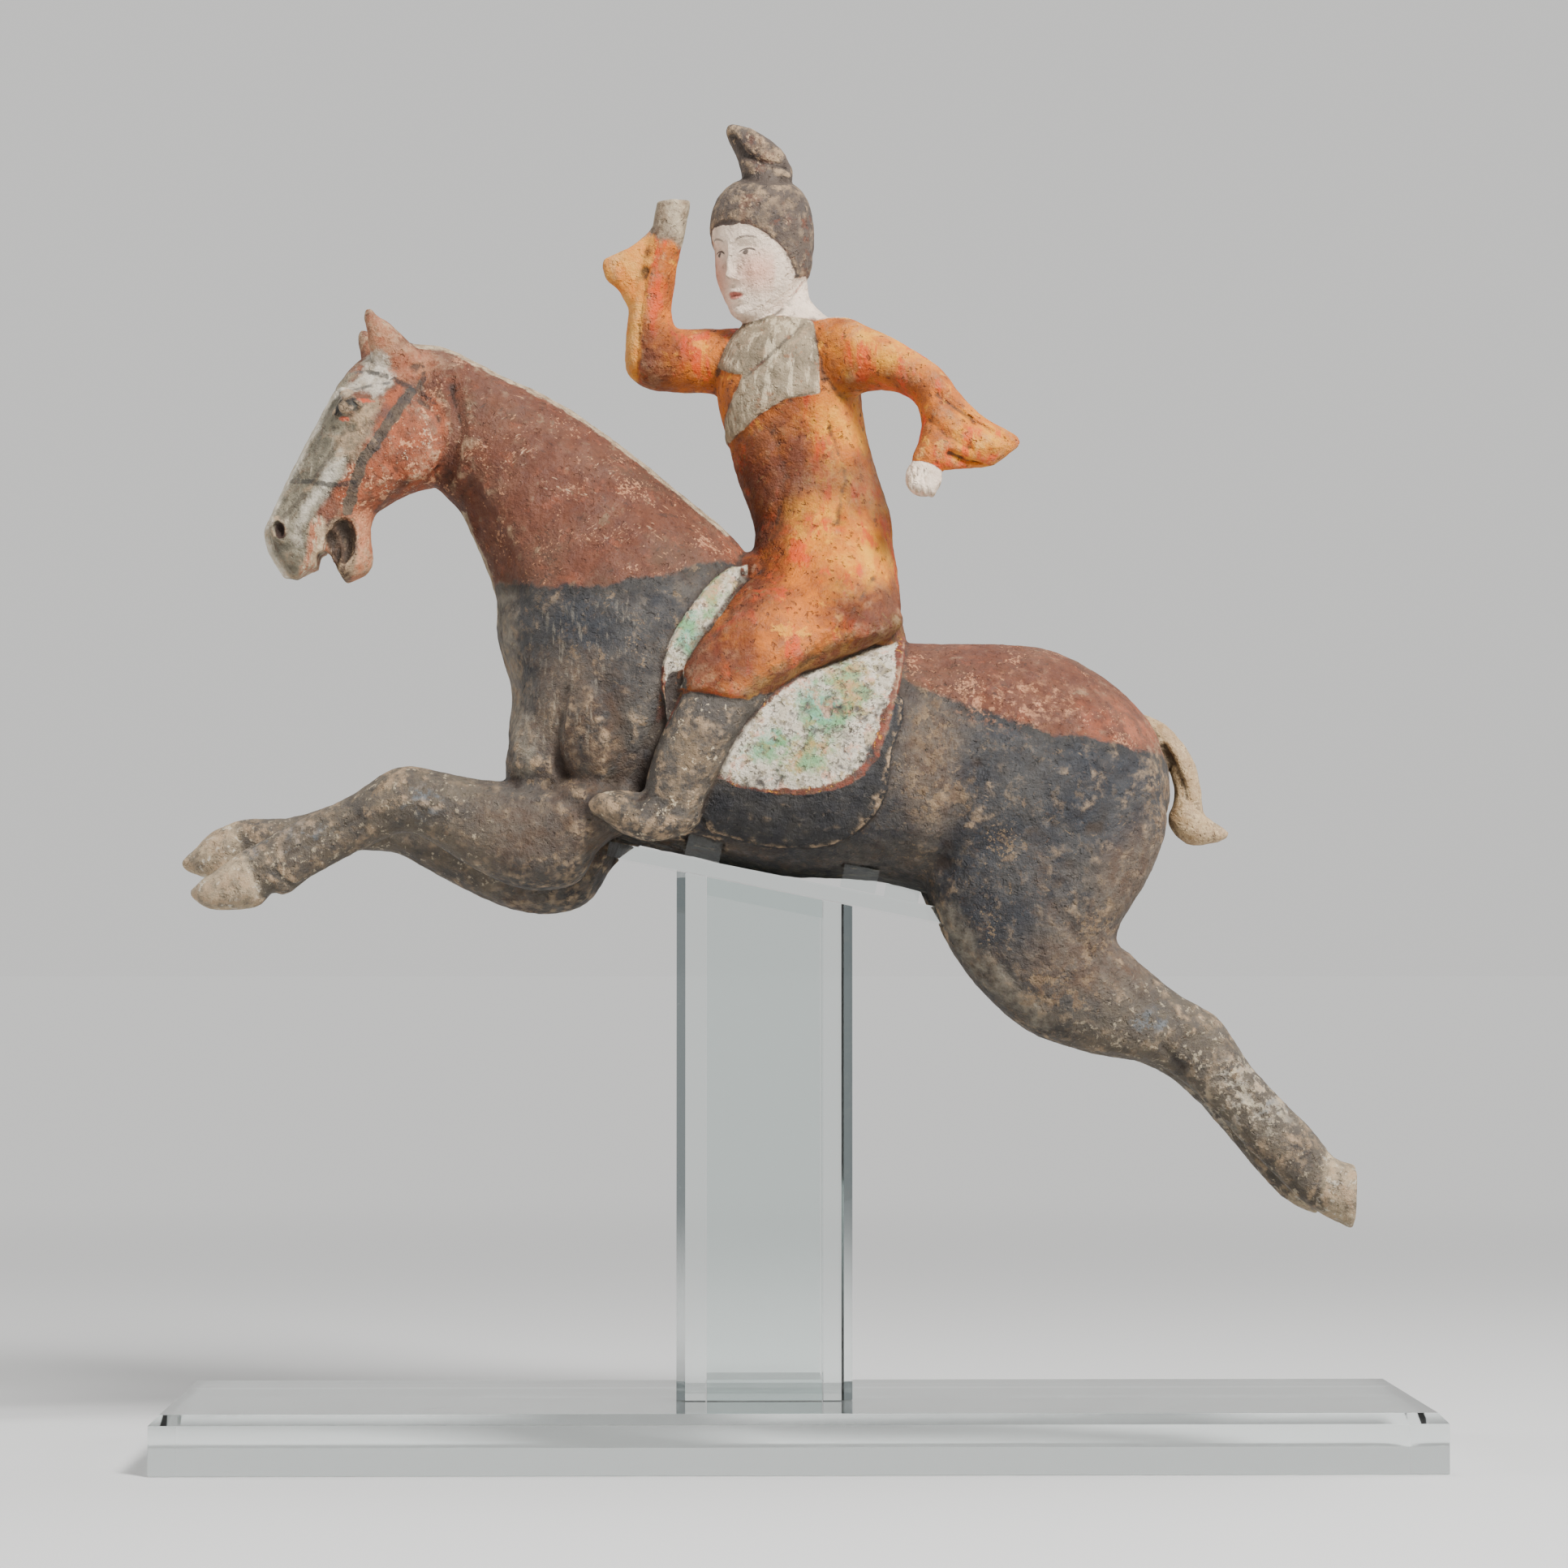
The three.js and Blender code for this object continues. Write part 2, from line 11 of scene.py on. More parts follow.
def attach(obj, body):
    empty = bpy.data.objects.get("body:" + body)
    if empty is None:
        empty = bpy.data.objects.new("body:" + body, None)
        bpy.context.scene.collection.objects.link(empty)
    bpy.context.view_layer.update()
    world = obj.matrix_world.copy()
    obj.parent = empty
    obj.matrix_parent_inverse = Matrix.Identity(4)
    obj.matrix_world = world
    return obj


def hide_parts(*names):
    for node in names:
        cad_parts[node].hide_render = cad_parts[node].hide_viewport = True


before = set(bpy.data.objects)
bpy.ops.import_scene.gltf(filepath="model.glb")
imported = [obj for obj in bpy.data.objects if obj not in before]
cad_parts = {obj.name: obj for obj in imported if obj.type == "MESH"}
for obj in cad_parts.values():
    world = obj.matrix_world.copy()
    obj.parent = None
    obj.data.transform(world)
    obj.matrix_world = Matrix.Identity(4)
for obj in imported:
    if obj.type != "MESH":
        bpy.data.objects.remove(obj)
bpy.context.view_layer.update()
mm = 0.001
print("frame loaded")


# Camera, light and floor

studio = {
    "cameraPlace": (-0.0387, -1.75, 0.1738),
    "cameraAim": (-0.004, 0.0, 0.2306),
    "lens": 116.46,
    "sensor": 36,
    "nearest": 0.01,
    "backColour": (0.80, 0.795, 0.78, 1),
    "roomColour": (0.065, 0.067, 0.072, 1),
    "flagColour": (0.20, 0.22, 0.225, 1),
    "flagCount": 8,
    "flagEdge": (0.2, 0.7),
    "lampAim": (0, 0, 0.22),
    "lamps": [
        {"name": "key", "place": (0.7, -1.25, 1.45), "size": 0.5, "power": 76},
        {"name": "left", "place": (-1.8, 0.1, 0.75), "size": 0.8, "power": 18},
        {"name": "right", "place": (1.6, 0.5, 0.8), "size": 0.8, "power": 11},
        {"name": "top", "place": (-0.2, 0.6, 1.9), "size": 0.8, "power": 12},
    ],
}


def aimAt(piece, target):
    direction = Vector(target) - piece.location
    piece.rotation_euler = direction.to_track_quat("-Z", "Y").to_euler()


def flagsAt(tree, x, y):
    # dark flags between pale directions round the figure, which draw the edges of the acrylic
    azimuth = compute(tree, "ARCTAN2", y, x)
    wave = compute(tree, "COSINE", times(tree, azimuth, studio["flagCount"]))
    unseen = minus(tree, 1, place(tree, "ShaderNodeLightPath").outputs["Is Camera Ray"])
    flags = times(tree, ramp(tree, times(tree, wave, -1), *studio["flagEdge"]), unseen)
    return mix(tree, flags, studio["backColour"], studio["flagColour"])


def setUpStudio():
    bpy.ops.object.camera_add(location=studio["cameraPlace"])
    camera = bpy.context.object
    camera.data.lens = studio["lens"]
    camera.data.sensor_width = studio["sensor"]
    camera.data.clip_start = studio["nearest"]
    aimAt(camera, studio["cameraAim"])
    bpy.context.scene.camera = camera
    for lamp in studio["lamps"]:
        bpy.ops.object.light_add(type="AREA", location=lamp["place"])
        light = bpy.context.object
        light.name = lamp["name"]
        light.data.size = lamp["size"]
        light.data.energy = lamp["power"]
        aimAt(light, studio["lampAim"])
    # the camera sees a pale backdrop, and the room that lights the clay is dimmer
    world = bpy.data.worlds.new("paleRoom")
    world.use_nodes = True
    tree = world.node_tree
    split = place(tree, "ShaderNodeSeparateXYZ")
    tree.links.new(place(tree, "ShaderNodeTexCoord").outputs["Generated"], split.inputs[0])
    seen = flagsAt(tree, split.outputs["X"], split.outputs["Y"])
    diffuse = place(tree, "ShaderNodeLightPath").outputs["Is Diffuse Ray"]
    lit = mix(tree, diffuse, seen, studio["roomColour"])
    tree.links.new(lit, tree.nodes["Background"].inputs["Color"])
    bpy.context.scene.world = world


# Shaping tools


def selectOnly(piece):
    bpy.ops.object.select_all(action="DESELECT")
    piece.select_set(True)
    bpy.context.view_layer.objects.active = piece


def curveThrough(rows, perSpan):
    rows = np.array(rows, float)
    before = np.vstack([2 * rows[0] - rows[1], rows[:-1]])
    after = np.vstack([rows[1:], 2 * rows[-1] - rows[-2]])
    slopes = (after - before) / 2
    points = []
    for i in range(len(rows) - 1):
        jump = rows[i + 1] - rows[i]
        for t in np.arange(perSpan) / perSpan:
            bend = 3 * jump - 2 * slopes[i] - slopes[i + 1]
            twist = slopes[i] + slopes[i + 1] - 2 * jump
            points.append(rows[i] + slopes[i] * t + bend * t**2 + twist * t**3)
    return np.array(points + [rows[-1]])


def startPulling():
    bpy.ops.object.mode_set(mode="EDIT")
    bpy.ops.mesh.select_all(action="SELECT")


def stopPulling():
    bpy.ops.mesh.select_all(action="SELECT")
    bpy.ops.mesh.normals_make_consistent(inside=False)
    bpy.ops.object.mode_set(mode="OBJECT")


def turnRing(centre, angle):
    # without a window the operator turns the other way
    bpy.ops.transform.rotate(value=-angle, orient_axis="Y", center_override=centre)


fullness = 0.91  # below 1 a limb's rings are a little squarer than an oval
ringsPerSpan = 4


def pullLimb(name, chords, sides=28, topHeavy=0):
    # a chord is [x, z of its upper or outer end, x, z of its lower or inner end, half width, y]
    rows = curveThrough(chords, ringsPerSpan) * mm
    middles = np.stack([rows[:, 0] + rows[:, 2], 2 * rows[:, 5], rows[:, 1] + rows[:, 3]], 1) / 2
    along, rise = rows[:, 0] - rows[:, 2], rows[:, 1] - rows[:, 3]
    reaches = np.hypot(along, rise) / 2
    turns = np.unwrap(np.arctan2(-rise, along))
    widths = rows[:, 4]
    bpy.ops.mesh.primitive_circle_add(
        vertices=sides, radius=reaches[0], fill_type="NGON",
        location=middles[0], rotation=(0, turns[0], 0))
    limb = bpy.context.object
    limb.name = name
    for vertex in limb.data.vertices:
        up, out = (np.sign(v) * abs(v / reaches[0]) ** fullness for v in vertex.co[:2])
        vertex.co = (up * reaches[0], out * (1 + topHeavy * up) * widths[0], 0)
    bpy.ops.object.transform_apply()
    startPulling()
    for i in range(1, len(rows)):
        centre = tuple(middles[i])
        step = {"value": tuple(middles[i] - middles[i - 1])}
        bpy.ops.mesh.extrude_region_move(TRANSFORM_OT_translate=step)
        turnRing(centre, -turns[i - 1])
        grow = (reaches[i] / reaches[i - 1], widths[i] / widths[i - 1], 1)
        bpy.ops.transform.resize(value=grow, center_override=centre)
        turnRing(centre, turns[i])
    stopPulling()
    return limb


def otherSide(chords):
    return [chord[:5] + [-chord[5]] for chord in chords]


def thicker(chords, extra):
    grown = []
    for x1, z1, x2, z2, halfWidth, y in chords:
        length = math.hypot(x1 - x2, z1 - z2)
        dx, dz = (x1 - x2) / length * extra, (z1 - z2) / length * extra
        grown.append([x1 + dx, z1 + dz, x2 - dx, z2 - dz, halfWidth + extra, y])
    return grown


def ball(name, middle, radii, lean=0):
    bpy.ops.mesh.primitive_uv_sphere_add(
        segments=28, ring_count=18, radius=mm, location=Vector(middle) * mm,
        rotation=(0, math.radians(lean), 0), scale=radii)
    bpy.ops.object.transform_apply()
    bpy.context.object.name = name
    return bpy.context.object


def rounded(outline, perSpan=ringsPerSpan):
    looped = np.array(outline[-2:] + outline + outline[:2], float)
    return curveThrough(looped, perSpan)[2 * perSpan:(len(outline) + 2) * perSpan]


def prism(name, outline, fromY, toY):
    bpy.ops.mesh.primitive_circle_add(
        vertices=len(outline), radius=0.05, fill_type="NGON",
        location=(0, fromY * mm, 0), rotation=(math.pi / 2, 0, 0))
    piece = bpy.context.object
    piece.name = name
    for vertex, (x, z) in zip(piece.data.vertices, outline):
        vertex.co = (x * mm, z * mm, 0)
    bpy.ops.object.transform_apply()
    startPulling()
    step = {"value": (0, (toY - fromY) * mm, 0)}
    bpy.ops.mesh.extrude_region_move(TRANSFORM_OT_translate=step)
    stopPulling()
    return piece


def carve(piece, tool, operation="DIFFERENCE"):
    cut = piece.modifiers.new("carve", "BOOLEAN")
    cut.operation = operation
    cut.object = tool
    selectOnly(piece)
    bpy.ops.object.modifier_apply(modifier=cut.name)
    bpy.data.objects.remove(tool)
    return piece


def joinPieces(name, pieces):
    bpy.ops.object.select_all(action="DESELECT")
    for piece in pieces:
        piece.select_set(True)
    bpy.context.view_layer.objects.active = pieces[0]
    bpy.ops.object.join()
    pieces[0].name = name
    return pieces[0]


def fuse(piece, voxel, softening):
    remesh = piece.modifiers.new("fuse", "REMESH")
    remesh.mode = "VOXEL"
    remesh.voxel_size = voxel * mm
    soften = piece.modifiers.new("soften", "SMOOTH")
    soften.iterations = softening
    selectOnly(piece)
    for name in ("fuse", "soften"):
        bpy.ops.object.modifier_apply(modifier=name)
    return piece


# The horse

horse = {
    "trunk": [
        [-134, 383, -127, 335, 14, 0], [-120, 381, -123, 332, 17, 0],
        [-104, 373, -120, 329, 20, 0], [-85, 364, -116, 325, 23, 0],
        [-69, 354, -111, 315, 26, 0], [-52, 341, -106, 303, 30, 0],
        [-36, 328, -103, 293, 34, 0], [-24, 318, -103, 281, 38, 0],
        [-15, 308, -98, 263, 41, 0], [-8, 301, -99, 246, 43, 0],
        [-3, 295, -94, 231, 43, 0], [6, 290, -64, 213, 42, 0],
        [15, 284, -34, 205, 42, 0], [28, 281, -6, 199, 43, 0],
        [45, 279, 28, 197, 44, 0], [67, 279, 53, 191, 45, 0],
        [87, 277, 77, 188, 44, 0], [104, 269, 98, 190, 43, 0],
        [116, 259, 112, 197, 38, 0], [123, 250, 121, 209, 31, 0],
        [128, 238, 128, 221, 16, 0],
    ],
    "head": [
        [-124, 379, -116, 344, 10, 0], [-137, 384, -119, 339, 14, 0],
        [-149, 378, -122, 334, 17, -1], [-158, 368, -132, 331, 19, -2],
        [-168, 349, -143, 325, 16, -4], [-175, 335, -146, 320, 13, -5],
        [-181, 322, -146, 313, 12.5, -6], [-183, 316, -145.5, 307, 12, -6.5],
        [-181, 309, -148, 302, 11, -7], [-176, 301, -155, 299, 7, -7],
    ],
    "nearEar": [
        [-145, 371, -127, 376, 5.5, -7], [-146.8, 380, -134.8, 384, 6, -9],
        [-147.8, 386.5, -139.6, 388.5, 4.6, -10], [-148.4, 391, -144, 391, 2.8, -10.5],
        [-147.8, 393.5, -146.2, 393.5, 1, -11],
    ],
    "farEar": [
        [-149.3, 372, -136, 377, 5.5, 7], [-151, 381, -141.5, 384.5, 5.5, 9],
        [-151.8, 385.5, -146, 387, 3.6, 10], [-151.3, 388.6, -149.6, 388.6, 1.2, 11],
    ],
    "nearForeleg": [
        [-53, 237, -50, 217, 14, -24], [-72, 234, -66, 209, 18, -24],
        [-89, 231, -75, 196, 18, -22], [-103, 231, -92, 194, 16.5, -22],
        [-117, 233, -110, 201, 14.5, -22], [-132, 236, -126, 211, 12.5, -22],
        [-140, 234, -135, 213, 12, -22], [-150, 227, -145, 209, 10, -21],
        [-162, 221, -157, 203, 8.5, -20], [-175, 215, -167, 197, 9, -19],
        [-183, 210, -174, 192, 9.5, -19], [-189, 207, -179, 193, 9, -19],
        [-196, 202, -184, 188, 11, -19], [-204, 196, -198, 187, 9.5, -19],
        [-207, 193, -205, 190, 4, -19],
    ],
    "farForeleg": [
        [-53, 232, -51, 212, 14, 24], [-73, 226, -63, 203, 18, 24],
        [-89, 225, -73, 189, 18, 22], [-104, 225, -93, 186, 16.5, 22],
        [-121, 229, -114, 194, 14.5, 22], [-136, 231, -129, 202, 12.5, 22],
        [-144, 230, -139, 207, 12, 22], [-155, 226, -151, 208, 10, 21],
        [-170, 221, -166, 206, 8.5, 20], [-179, 219, -176, 204, 9, 19],
        [-188, 219, -182, 201, 9.5, 19], [-195, 218, -189, 200, 9, 19],
        [-203, 214, -196, 196, 11, 19], [-209, 208, -204, 198, 9, 19],
        [-213.5, 204, -212, 201, 4, 19],
    ],
    "nearHindLeg": [
        [108, 246, 51, 222, 18, -19], [126, 223, 43, 202, 23, -21],
        [121, 200, 48, 183, 24, -21], [109, 179, 59, 164, 21, -21],
        [115, 171, 78, 146, 17, -20], [129, 159, 101, 138, 13.5, -19],
        [138, 154, 119, 135, 12, -19], [145, 149, 128, 131, 10.5, -18],
        [155, 134, 139, 122, 9, -18], [166, 122, 152, 108, 9, -17],
        [174, 114, 162, 98, 10, -17], [180, 107, 170, 90, 9, -17],
        [184, 102, 178, 84, 10, -17], [191, 100, 190, 78, 11, -17],
    ],
    "farHindLeg": [
        [110, 246, 52, 220, 18, 19], [130, 223, 43, 199, 23, 21],
        [124, 200, 50, 182, 24, 21], [109, 179, 61, 164, 21, 21],
        [112, 169, 77, 149, 17, 20], [126, 157, 98, 140, 13.5, 19],
        [136, 151, 118, 135, 12, 19], [142, 145, 131, 129, 10.5, 18],
        [152, 131, 140, 121, 9, 18], [162, 118, 151, 109, 9, 17],
        [170, 111, 161, 97, 10, 17], [176, 105, 169, 88, 9, 17],
        [179, 101, 175, 84, 10, 17], [185, 99, 182, 81, 10.5, 17],
    ],
    "tail": [
        [117, 256, 122, 244, 5, 0], [128, 251, 127, 241, 6.5, 0],
        [137, 240, 130, 233, 7, 0], [140, 230, 131, 226, 7, 0],
        [141, 221, 129, 217, 7.5, 0], [144, 218, 135, 210, 6.5, 0],
        [147, 216, 144, 210, 4.5, 0], [150, 214, 149, 212, 1.5, 0],
    ],
    "mouthGap": [
        [-172.5, 300], [-168, 303], [-164.5, 304.5], [-164, 309], [-161, 310],
        [-159, 307.5], [-157, 303], [-154.5, 299], [-156, 292], [-170, 292],
    ],
    # balls as x, z, reaches along, across and up, lean in degrees, and the y of each copy
    "balls": {
        "shoulder": [-67, 252, 18, 16.5, 29, -12, (-28, 28)],
        "breast": [-86, 240, 13, 17, 26, 8, (-18, 18)],
        "cheek": [-133, 347, 12.5, 3.8, 13.5, 0, (-16, 12)],
        "brow": [-152, 362, 6, 4.2, 2.4, 35, (-16, 9)],
        "nostrilRim": [-177, 317, 3.6, 3, 5.4, -20, (-16, 2)],
        "mouthHollow": [-156, 312, 5.6, 9, 9.8, 18, (-20, 6)],
        "nostril": [-177, 317, 1.8, 3.4, 3.4, -20, (-19, 5)],
        "eye": [-153.5, 358.5, 3, 2.6, 2.6, 0, (-18.3, 13.3)],
    },
    "mouthDepth": (-30, 20),
    "thinSides": 20,
    "trunkSides": 44, "trunkTopHeavy": -0.14,
    "headSides": 36, "headTopHeavy": -0.12,
    "voxel": 0.8, "softening": 12,
    "headVoxel": 0.7, "headSoftening": 6,
}


def horseBall(name, copy):
    x, z, along, across, up, lean, copies = horse["balls"][name]
    return ball(name, (x, copies[copy], z), (along, across, up), lean)


def horseBalls(*names):
    return [horseBall(name, copy) for name in names for copy in (0, 1)]


def pullTrunk(name, chords):
    return pullLimb(name, chords, horse["trunkSides"], horse["trunkTopHeavy"])


def buildHorseHead():
    head = pullLimb("horseHead", horse["head"], horse["headSides"], horse["headTopHeavy"])
    head = joinPieces("horseHead", [head] + horseBalls("cheek", "brow", "nostrilRim"))
    fuse(head, horse["headVoxel"], horse["headSoftening"])
    for hollow in horseBalls("mouthHollow", "nostril"):
        carve(head, hollow)
    carve(head, prism("mouthGap", horse["mouthGap"], *horse["mouthDepth"]))
    ears = [pullLimb(name, horse[name], horse["thinSides"]) for name in ("nearEar", "farEar")]
    return joinPieces("horseHead", [head] + horseBalls("eye") + ears)


def buildHorse():
    names = ("nearForeleg", "farForeleg", "nearHindLeg", "farHindLeg")
    forms = [pullTrunk("trunk", horse["trunk"])]
    forms += [pullLimb(name, horse[name]) for name in names]
    forms += [horseBall(name, copy) for copy in (0, 1) for name in ("shoulder", "breast")]
    body = fuse(joinPieces("horse", forms), horse["voxel"], horse["softening"])
    tail = pullLimb("tail", horse["tail"], horse["thinSides"])
    trees["tail"] = treeOf(tail)
    return joinPieces("horse", [body, buildHorseHead(), tail])


# The saddle cloth, with the flap under it

saddle = {
    "cloth": [
        [-26, 301], [-36, 289], [-43, 277], [-46, 264], [-44, 247], [-28, 232],
        [-12, 226.5], [4, 226], [19, 230], [27, 239], [32, 255], [37, 277],
        [37, 300], [0, 296], [-17, 304],
    ],
    "flap": [
        [-31, 262], [-32, 219], [-23, 211.5], [-6, 208], [10, 208.5],
        [21, 214.5], [28.5, 224], [31, 239], [31, 262],
    ],
    "thickness": {"cloth": 2.4, "flap": 2},
    "trunkChords": (7, 18),
    "reach": 60,
}


def buildSaddle():
    # each layer is a thicker stretch of the trunk, cut to its outline
    sheets = []
    first, last = saddle["trunkChords"]
    for name, thickness in saddle["thickness"].items():
        sheet = pullTrunk(name, thicker(horse["trunk"][first:last], thickness))
        pattern = prism("pattern", rounded(saddle[name]), -saddle["reach"], saddle["reach"])
        sheets.append(carve(sheet, pattern, "INTERSECT"))
        trees[name] = treeOf(sheet)
    return joinPieces("saddle", sheets)


# The rider

rider = {
    "torso": [
        [-22, 280, 39, 277, 31, 0], [-18, 300, 36, 291, 29, 0],
        [-14, 314, 34, 308, 25, 0], [-15, 322, 33, 322, 23, 0],
        [-19, 333, 29, 336, 21, 0], [-23, 347, 25, 350, 21, 0],
        [-27, 363, 23, 363, 22, 0], [-27, 372, 22, 375, 21, 0],
        [-23, 382, 18, 386, 17, -1], [-18, 389, 11, 392, 12, -1],
        [-14, 392, 5, 398, 9, -2], [-13, 400, 4, 406, 8.5, -2],
    ],
    "bun": [
        [-17, 434, -2, 433, 7, -2], [-19, 443, -1, 442, 9.5, -2],
        [-21, 449, -2.5, 446, 9, -2], [-23.5, 454, -5, 450, 7.5, -2],
        [-24, 457, -11, 455, 5.5, -2], [-23, 459, -18, 458, 2.5, -2],
    ],
    "nearArm": [
        [-5, 388, -1, 363, 9, -2], [14, 391, 18, 363, 13, -13],
        [26, 386, 25, 365, 12, -18], [38, 379, 33, 364, 11, -24],
        [49, 371, 40, 360, 10.5, -29], [56, 361, 42, 353, 10, -33],
        [63, 354, 41, 346, 9, -36], [73, 348, 39, 341, 8, -39],
        [75, 344, 39, 338, 6.5, -40], [66, 337, 45, 335, 3, -40],
    ],
    "farArm": [
        [-15, 362, -14, 389, 13, 4], [-28, 366, -28, 389, 12, 7],
        [-41, 367, -40, 389, 11.5, 8], [-51, 368, -42, 390, 11, 7],
        [-58, 373, -43, 396, 10.5, 6], [-59, 381, -42, 403, 10.5, 5],
        [-58, 394, -41, 411, 10, 4], [-54, 408, -39, 419, 9, 3],
        [-50, 422, -38, 424, 7.5, 3], [-49, 428, -37, 429, 7, 3],
        [-48, 433, -36, 433, 6.5, 3],
    ],
    "farCuff": [
        [-46, 428, -52, 380, 5, 3], [-52, 421, -57, 392, 5, 2],
        [-57, 417, -61, 401, 4.5, 1], [-63, 414, -65, 404.5, 3.5, 0],
        [-66.5, 412.5, -67, 409, 2, 0],
    ],
    "thigh": [
        [-6, 306, 34, 285, 14, -18], [-19, 297, 31, 281, 14, -28],
        [-28, 286, 15, 275, 13, -35], [-35, 275, -3, 266, 12, -39.5],
        [-41, 264, -14, 258.5, 11.5, -42], [-42, 261, -16, 256.5, 8, -42],
    ],
    "skirt": [
        [-13, 322, 32, 322, 21, -2], [-15, 309, 35, 303, 26, -6],
        [-19, 298, 36, 288, 29, -11], [-26, 287, 32, 279, 27, -18],
    ],
    "hemRoll": [
        [-16, 266, -12, 258.5, 6, -41], [-6, 274, -2, 265, 7, -38], [6, 280, 10, 270.5, 8, -34],
        [18, 285, 22, 275.5, 8, -29], [29, 291, 33, 281, 7, -24], [34, 292, 37, 285, 3, -21],
    ],
    "shin": [
        [-36, 272, -8, 262, 9, -39], [-41, 262, -15, 253, 10, -41],
        [-44, 253, -21, 245, 10, -43], [-49, 239, -26, 235, 9.5, -43.5],
        [-52, 227, -31, 225, 9, -43], [-54, 217, -34, 216, 7.5, -42],
    ],
    "boot": [
        [-33, 222, -33, 216, 5, -41], [-40, 225, -39, 212, 8, -42],
        [-50, 226, -49, 210, 8.5, -43], [-60, 227, -58, 212, 8, -43],
        [-67, 226, -64, 216, 6.5, -42.5], [-71, 223, -70, 220, 3, -42],
    ],
    "folds": [
        [[44, 372, 46, 369, 1.5, -37], [56, 357, 59, 353, 2, -42], [68, 349, 70, 346, 1.5, -44]],
        [[20, 372, 22, 369, 1.5, -23], [30, 371, 31, 368, 2, -31], [38, 368, 39, 366, 1, -34]],
    ],
    "collar": [
        [-19, 389], [-27, 382], [-31, 377], [-24, 372.5], [-18, 370.5], [-20.5, 365],
        [-24.5, 356], [-24.8, 347], [-19, 351.5], [-12, 357.5], [-3, 362],
        [7.5, 364], [7, 382], [5, 390], [-5, 391], [-14, 391],
    ],
    "collarThickness": 1,
    "collarDepth": (-40, -1),
    "apron": [(-15, 0, 301), (8.5, 26, 10)],
    "palm": [(42.5, -40, 333), (6.2, 5.6, 6.4)],
    "fingers": {
        "count": 4, "first": (38.5, -44, 332), "step": (2.4, 0.5, -0.8),
        "radii": (1.6, 3, 3.8), "lean": 12,
    },
    # [height, front, back, half width], looking along x before it is turned
    "headLevels": [
        [-25, 8, -4, 5], [-22, 14, -9, 8.5], [-15, 16, -13, 13], [-8, 16.5, -16, 15.5],
        [1, 16, -18.5, 16.5], [9, 16, -19, 16.5], [16, 13.5, -17.5, 15],
        [21, 9, -13, 11], [24, 2, -6, 5],
    ],
    "headPlace": (-12, -4, 415),
    "headTurn": 228,
    "headNod": 10,
    "hairScale": 1.055,
    "faceOpening": [(20, 0, -14), (26, 24, 26)],
    "napeOpening": [(2, 0, -34), (32, 32, 27)],
    "headSides": 40, "bunSides": 24, "bodySides": 36, "foldSides": 16,
    "voxel": 0.8,
    "softening": {"robe": 6, "boots": 5},
}
headPlace = (
    Matrix.Translation(Vector(rider["headPlace"]) * mm)
    @ Matrix.Rotation(math.radians(rider["headTurn"]), 4, "Z")
    @ Matrix.Rotation(math.radians(rider["headNod"]), 4, "Y")
)


def pullHead(name, scale):
    rows = curveThrough(rider["headLevels"], ringsPerSpan) * mm * scale
    depths, widths = (rows[:, 1] - rows[:, 2]) / 2, rows[:, 3]
    centres = np.stack([(rows[:, 1] + rows[:, 2]) / 2, 0 * widths, rows[:, 0]], 1)
    bpy.ops.mesh.primitive_circle_add(
        vertices=rider["headSides"], radius=depths[0], fill_type="NGON", location=centres[0])
    head = bpy.context.object
    head.name = name
    head.scale.y = widths[0] / depths[0]
    bpy.ops.object.transform_apply()
    startPulling()
    for i in range(1, len(rows)):
        step = {"value": tuple(centres[i] - centres[i - 1])}
        bpy.ops.mesh.extrude_region_move(TRANSFORM_OT_translate=step)
        grow = (depths[i] / depths[i - 1], widths[i] / widths[i - 1], 1)
        bpy.ops.transform.resize(value=grow, center_override=tuple(centres[i]))
    stopPulling()
    return head


def ontoNeck(piece):
    selectOnly(piece)
    piece.matrix_world = headPlace
    bpy.ops.object.transform_apply()
    return piece


def buildRiderHead():
    skull = pullHead("skull", 1)
    hair = pullHead("hair", rider["hairScale"])
    for name in ("faceOpening", "napeOpening"):
        carve(hair, ball(name, *rider[name]))
    hair = joinPieces("hair", [ontoNeck(hair), pullLimb("bun", rider["bun"], rider["bunSides"])])
    skull = ontoNeck(skull)
    trees["skin"] = treeOf(skull)
    trees["hair"] = treeOf(hair)
    return joinPieces("riderHead", [skull, hair])


def pullPair(name, **shape):
    return [pullLimb(name, chords, **shape) for chords in (rider[name], otherSide(rider[name]))]


def fuseDress(name, forms):
    dress = fuse(joinPieces(name, forms), rider["voxel"], rider["softening"][name])
    trees[name] = treeOf(dress)
    return dress


def buildRobe():
    forms = [pullLimb("torso", rider["torso"], rider["bodySides"])]
    forms += [pullLimb(name, rider[name]) for name in ("nearArm", "farArm", "farCuff")]
    forms += pullPair("thigh") + pullPair("skirt", sides=rider["bodySides"])
    forms += [ball("apron", *rider["apron"])] + pullPair("hemRoll")
    forms += [pullLimb("fold", chords, rider["foldSides"]) for chords in rider["folds"]]
    return fuseDress("robe", forms)


def buildBoots():
    return fuseDress("boots", pullPair("shin") + pullPair("boot"))


def buildHand():
    fingers = rider["fingers"]
    fist = [ball("palm", *rider["palm"])]
    for i in range(fingers["count"]):
        middle = [start + i * step for start, step in zip(fingers["first"], fingers["step"])]
        fist.append(ball("finger", middle, fingers["radii"], fingers["lean"]))
    hand = joinPieces("hand", fist)
    trees["hand"] = treeOf(hand)
    return hand


def buildCollar():
    grown = thicker(rider["torso"], rider["collarThickness"])
    collar = pullLimb("collar", grown, rider["bodySides"])
    carve(collar, prism("collarPattern", rider["collar"], *rider["collarDepth"]), "INTERSECT")
    trees["collar"] = treeOf(collar)
    return collar


trees = {}


